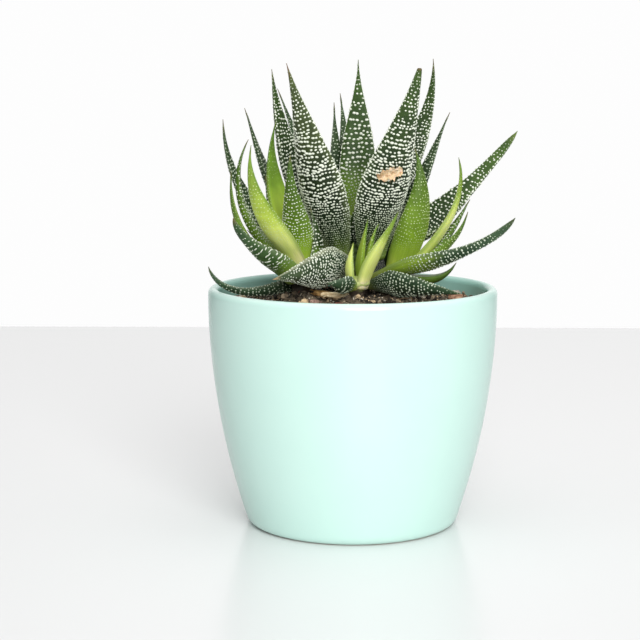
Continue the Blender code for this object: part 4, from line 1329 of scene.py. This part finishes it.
def husk_point(share, part):
    """A point of the crumpled sheet, by a share of its length and of its half width."""
    ragged = 1.0 + HUSK_RAGGED * math.sin(HUSK_RAGS * share)
    ragged += 0.45 * noise.noise(Vector((share * 14.0, 4.0 * part, 1.0)))
    half = 0.5 * HUSK_WIDTH * (1.0 - 2.0 * share * share) * ragged
    torn = 1.0 + 0.16 * noise.noise(Vector((3.0 * part, 7.0, 3.0))) * abs(2 * share)
    height = HUSK_REST + HUSK_BEND * share * share + 0.6 * MM * part * part - 0.2 * MM
    for size, along_scale, across_scale, seed in HUSK_CRUMPLES:
        height += size * noise.noise(Vector((share * along_scale, part * across_scale, seed)))
    return stuck_at + length_way * share * torn * HUSK_LENGTH + width_way * half * part + outward * height


rings = []
for share in steps(-0.5, 0.5, 44):
    above = [husk_point(share, part) + outward * HUSK_PAPER for part in steps(-1.0, 1.0, 16)]
    below = [husk_point(share, part) - outward * HUSK_PAPER for part in steps(1.0, -1.0, 16)]
    rings.append(below + above)
sheet = mesh_piece("husk_sheet", *skinned(rings), dry_husk)
dice = random.Random(9)
hairs = []
for _ in range(HUSK_HAIRS):
    share, part = dice.uniform(-0.48, 0.48), dice.choice((-1.0, 1.0))
    start = husk_point(share, 0.9 * part)
    way = width_way * part + length_way * dice.uniform(-0.9, 0.9) + outward * dice.uniform(-0.1, 0.4)
    way = way * dice.uniform(0.4, 1.3) * MM
    line = [start + way * step + outward * 0.3 * MM * step * step for step in steps(0.0, 1.0, 5)]
    hairs.append((line, dice.uniform(0.04, 0.08) * MM))
husk = joined("crumpled_husk", [sheet, threads("husk_hairs", hairs, dry_husk)])
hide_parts("husk")
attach(husk, "root")


# Photographer's table: a pale, slightly glossy board in front of a white wall lit evenly. A large
# soft light stands in front and a little to the right, and the room fills the rest.
TABLE_BACK = 0.50
TABLE_REACH = 2.5
LIGHT_AT = (0.44, -2.26, 1.24)
LIGHT_AIMED_AT = Vector((0, 0, 0.09))
CAMERA_AT = (0.0, -0.600, 0.158)
CAMERA_DOWN = 7.92
CAMERA_LEFT = 1.133
CAMERA_LENS = 93.27

table_top, tree, shader = shader_finish("table_top")
shader.inputs["Base Color"].default_value = (0.82, 0.82, 0.82, 1.0)
shader.inputs["Roughness"].default_value = 0.24
front = [Vector((x, -TABLE_REACH, 0)) for x in (-TABLE_REACH, TABLE_REACH)]
back = [Vector((x, TABLE_BACK, 0)) for x in (TABLE_REACH, -TABLE_REACH)]
table = mesh_piece("table", front + back, [(0, 1, 2, 3)], table_top)

world = bpy.data.worlds.new("white_room")
bpy.context.scene.world = world
world.use_nodes = True
tree = world.node_tree
path = add(tree, "ShaderNodeLightPath").outputs
way = add(tree, "ShaderNodeSeparateXYZ", {0: add(tree, "ShaderNodeTexCoord").outputs["Generated"]}).outputs
overhead = math_of(tree, "MULTIPLY", way["Z"], way["Z"])
lit = add(tree, "ShaderNodeMapRange", {0: overhead, 4: 1.25}).outputs[0]
wall = math_of(tree, "MULTIPLY", path["Is Glossy Ray"], ranged(tree, way["Y"], 0.86, 0.96, 0.0, 0.90))
window = ranged(tree, way["X"], -0.8, 0.8, 0.03, 0.13)
lit = math_of(tree, "ADD", math_of(tree, "ADD", lit, wall), window)
strength = add(tree, "ShaderNodeMapRange", {0: path["Is Camera Ray"], 3: lit, 4: 0.985}).outputs[0]
room = tree.nodes["Background"]
room.inputs["Color"].default_value = (1.0, 1.0, 1.0, 1.0)
tree.links.new(strength, room.inputs["Strength"])

light = bpy.data.objects.new("soft_light", bpy.data.lights.new("soft_light", "AREA"))
light.data.shape = "RECTANGLE"
light.data.size = 1.4
light.data.size_y = 1.7
light.data.energy = 60.0
light.location = LIGHT_AT
light.rotation_euler = (LIGHT_AIMED_AT - light.location).to_track_quat("-Z", "Y").to_euler()
bpy.context.scene.collection.objects.link(light)

camera = bpy.data.objects.new("camera", bpy.data.cameras.new("camera"))
camera.data.lens = CAMERA_LENS
camera.data.sensor_width = 36.0
camera.location = CAMERA_AT
camera.rotation_euler = (math.radians(90 - CAMERA_DOWN), 0.0, math.radians(CAMERA_LEFT))
bpy.context.scene.collection.objects.link(camera)
bpy.context.scene.camera = camera
bpy.context.scene.view_settings.view_transform = "Standard"
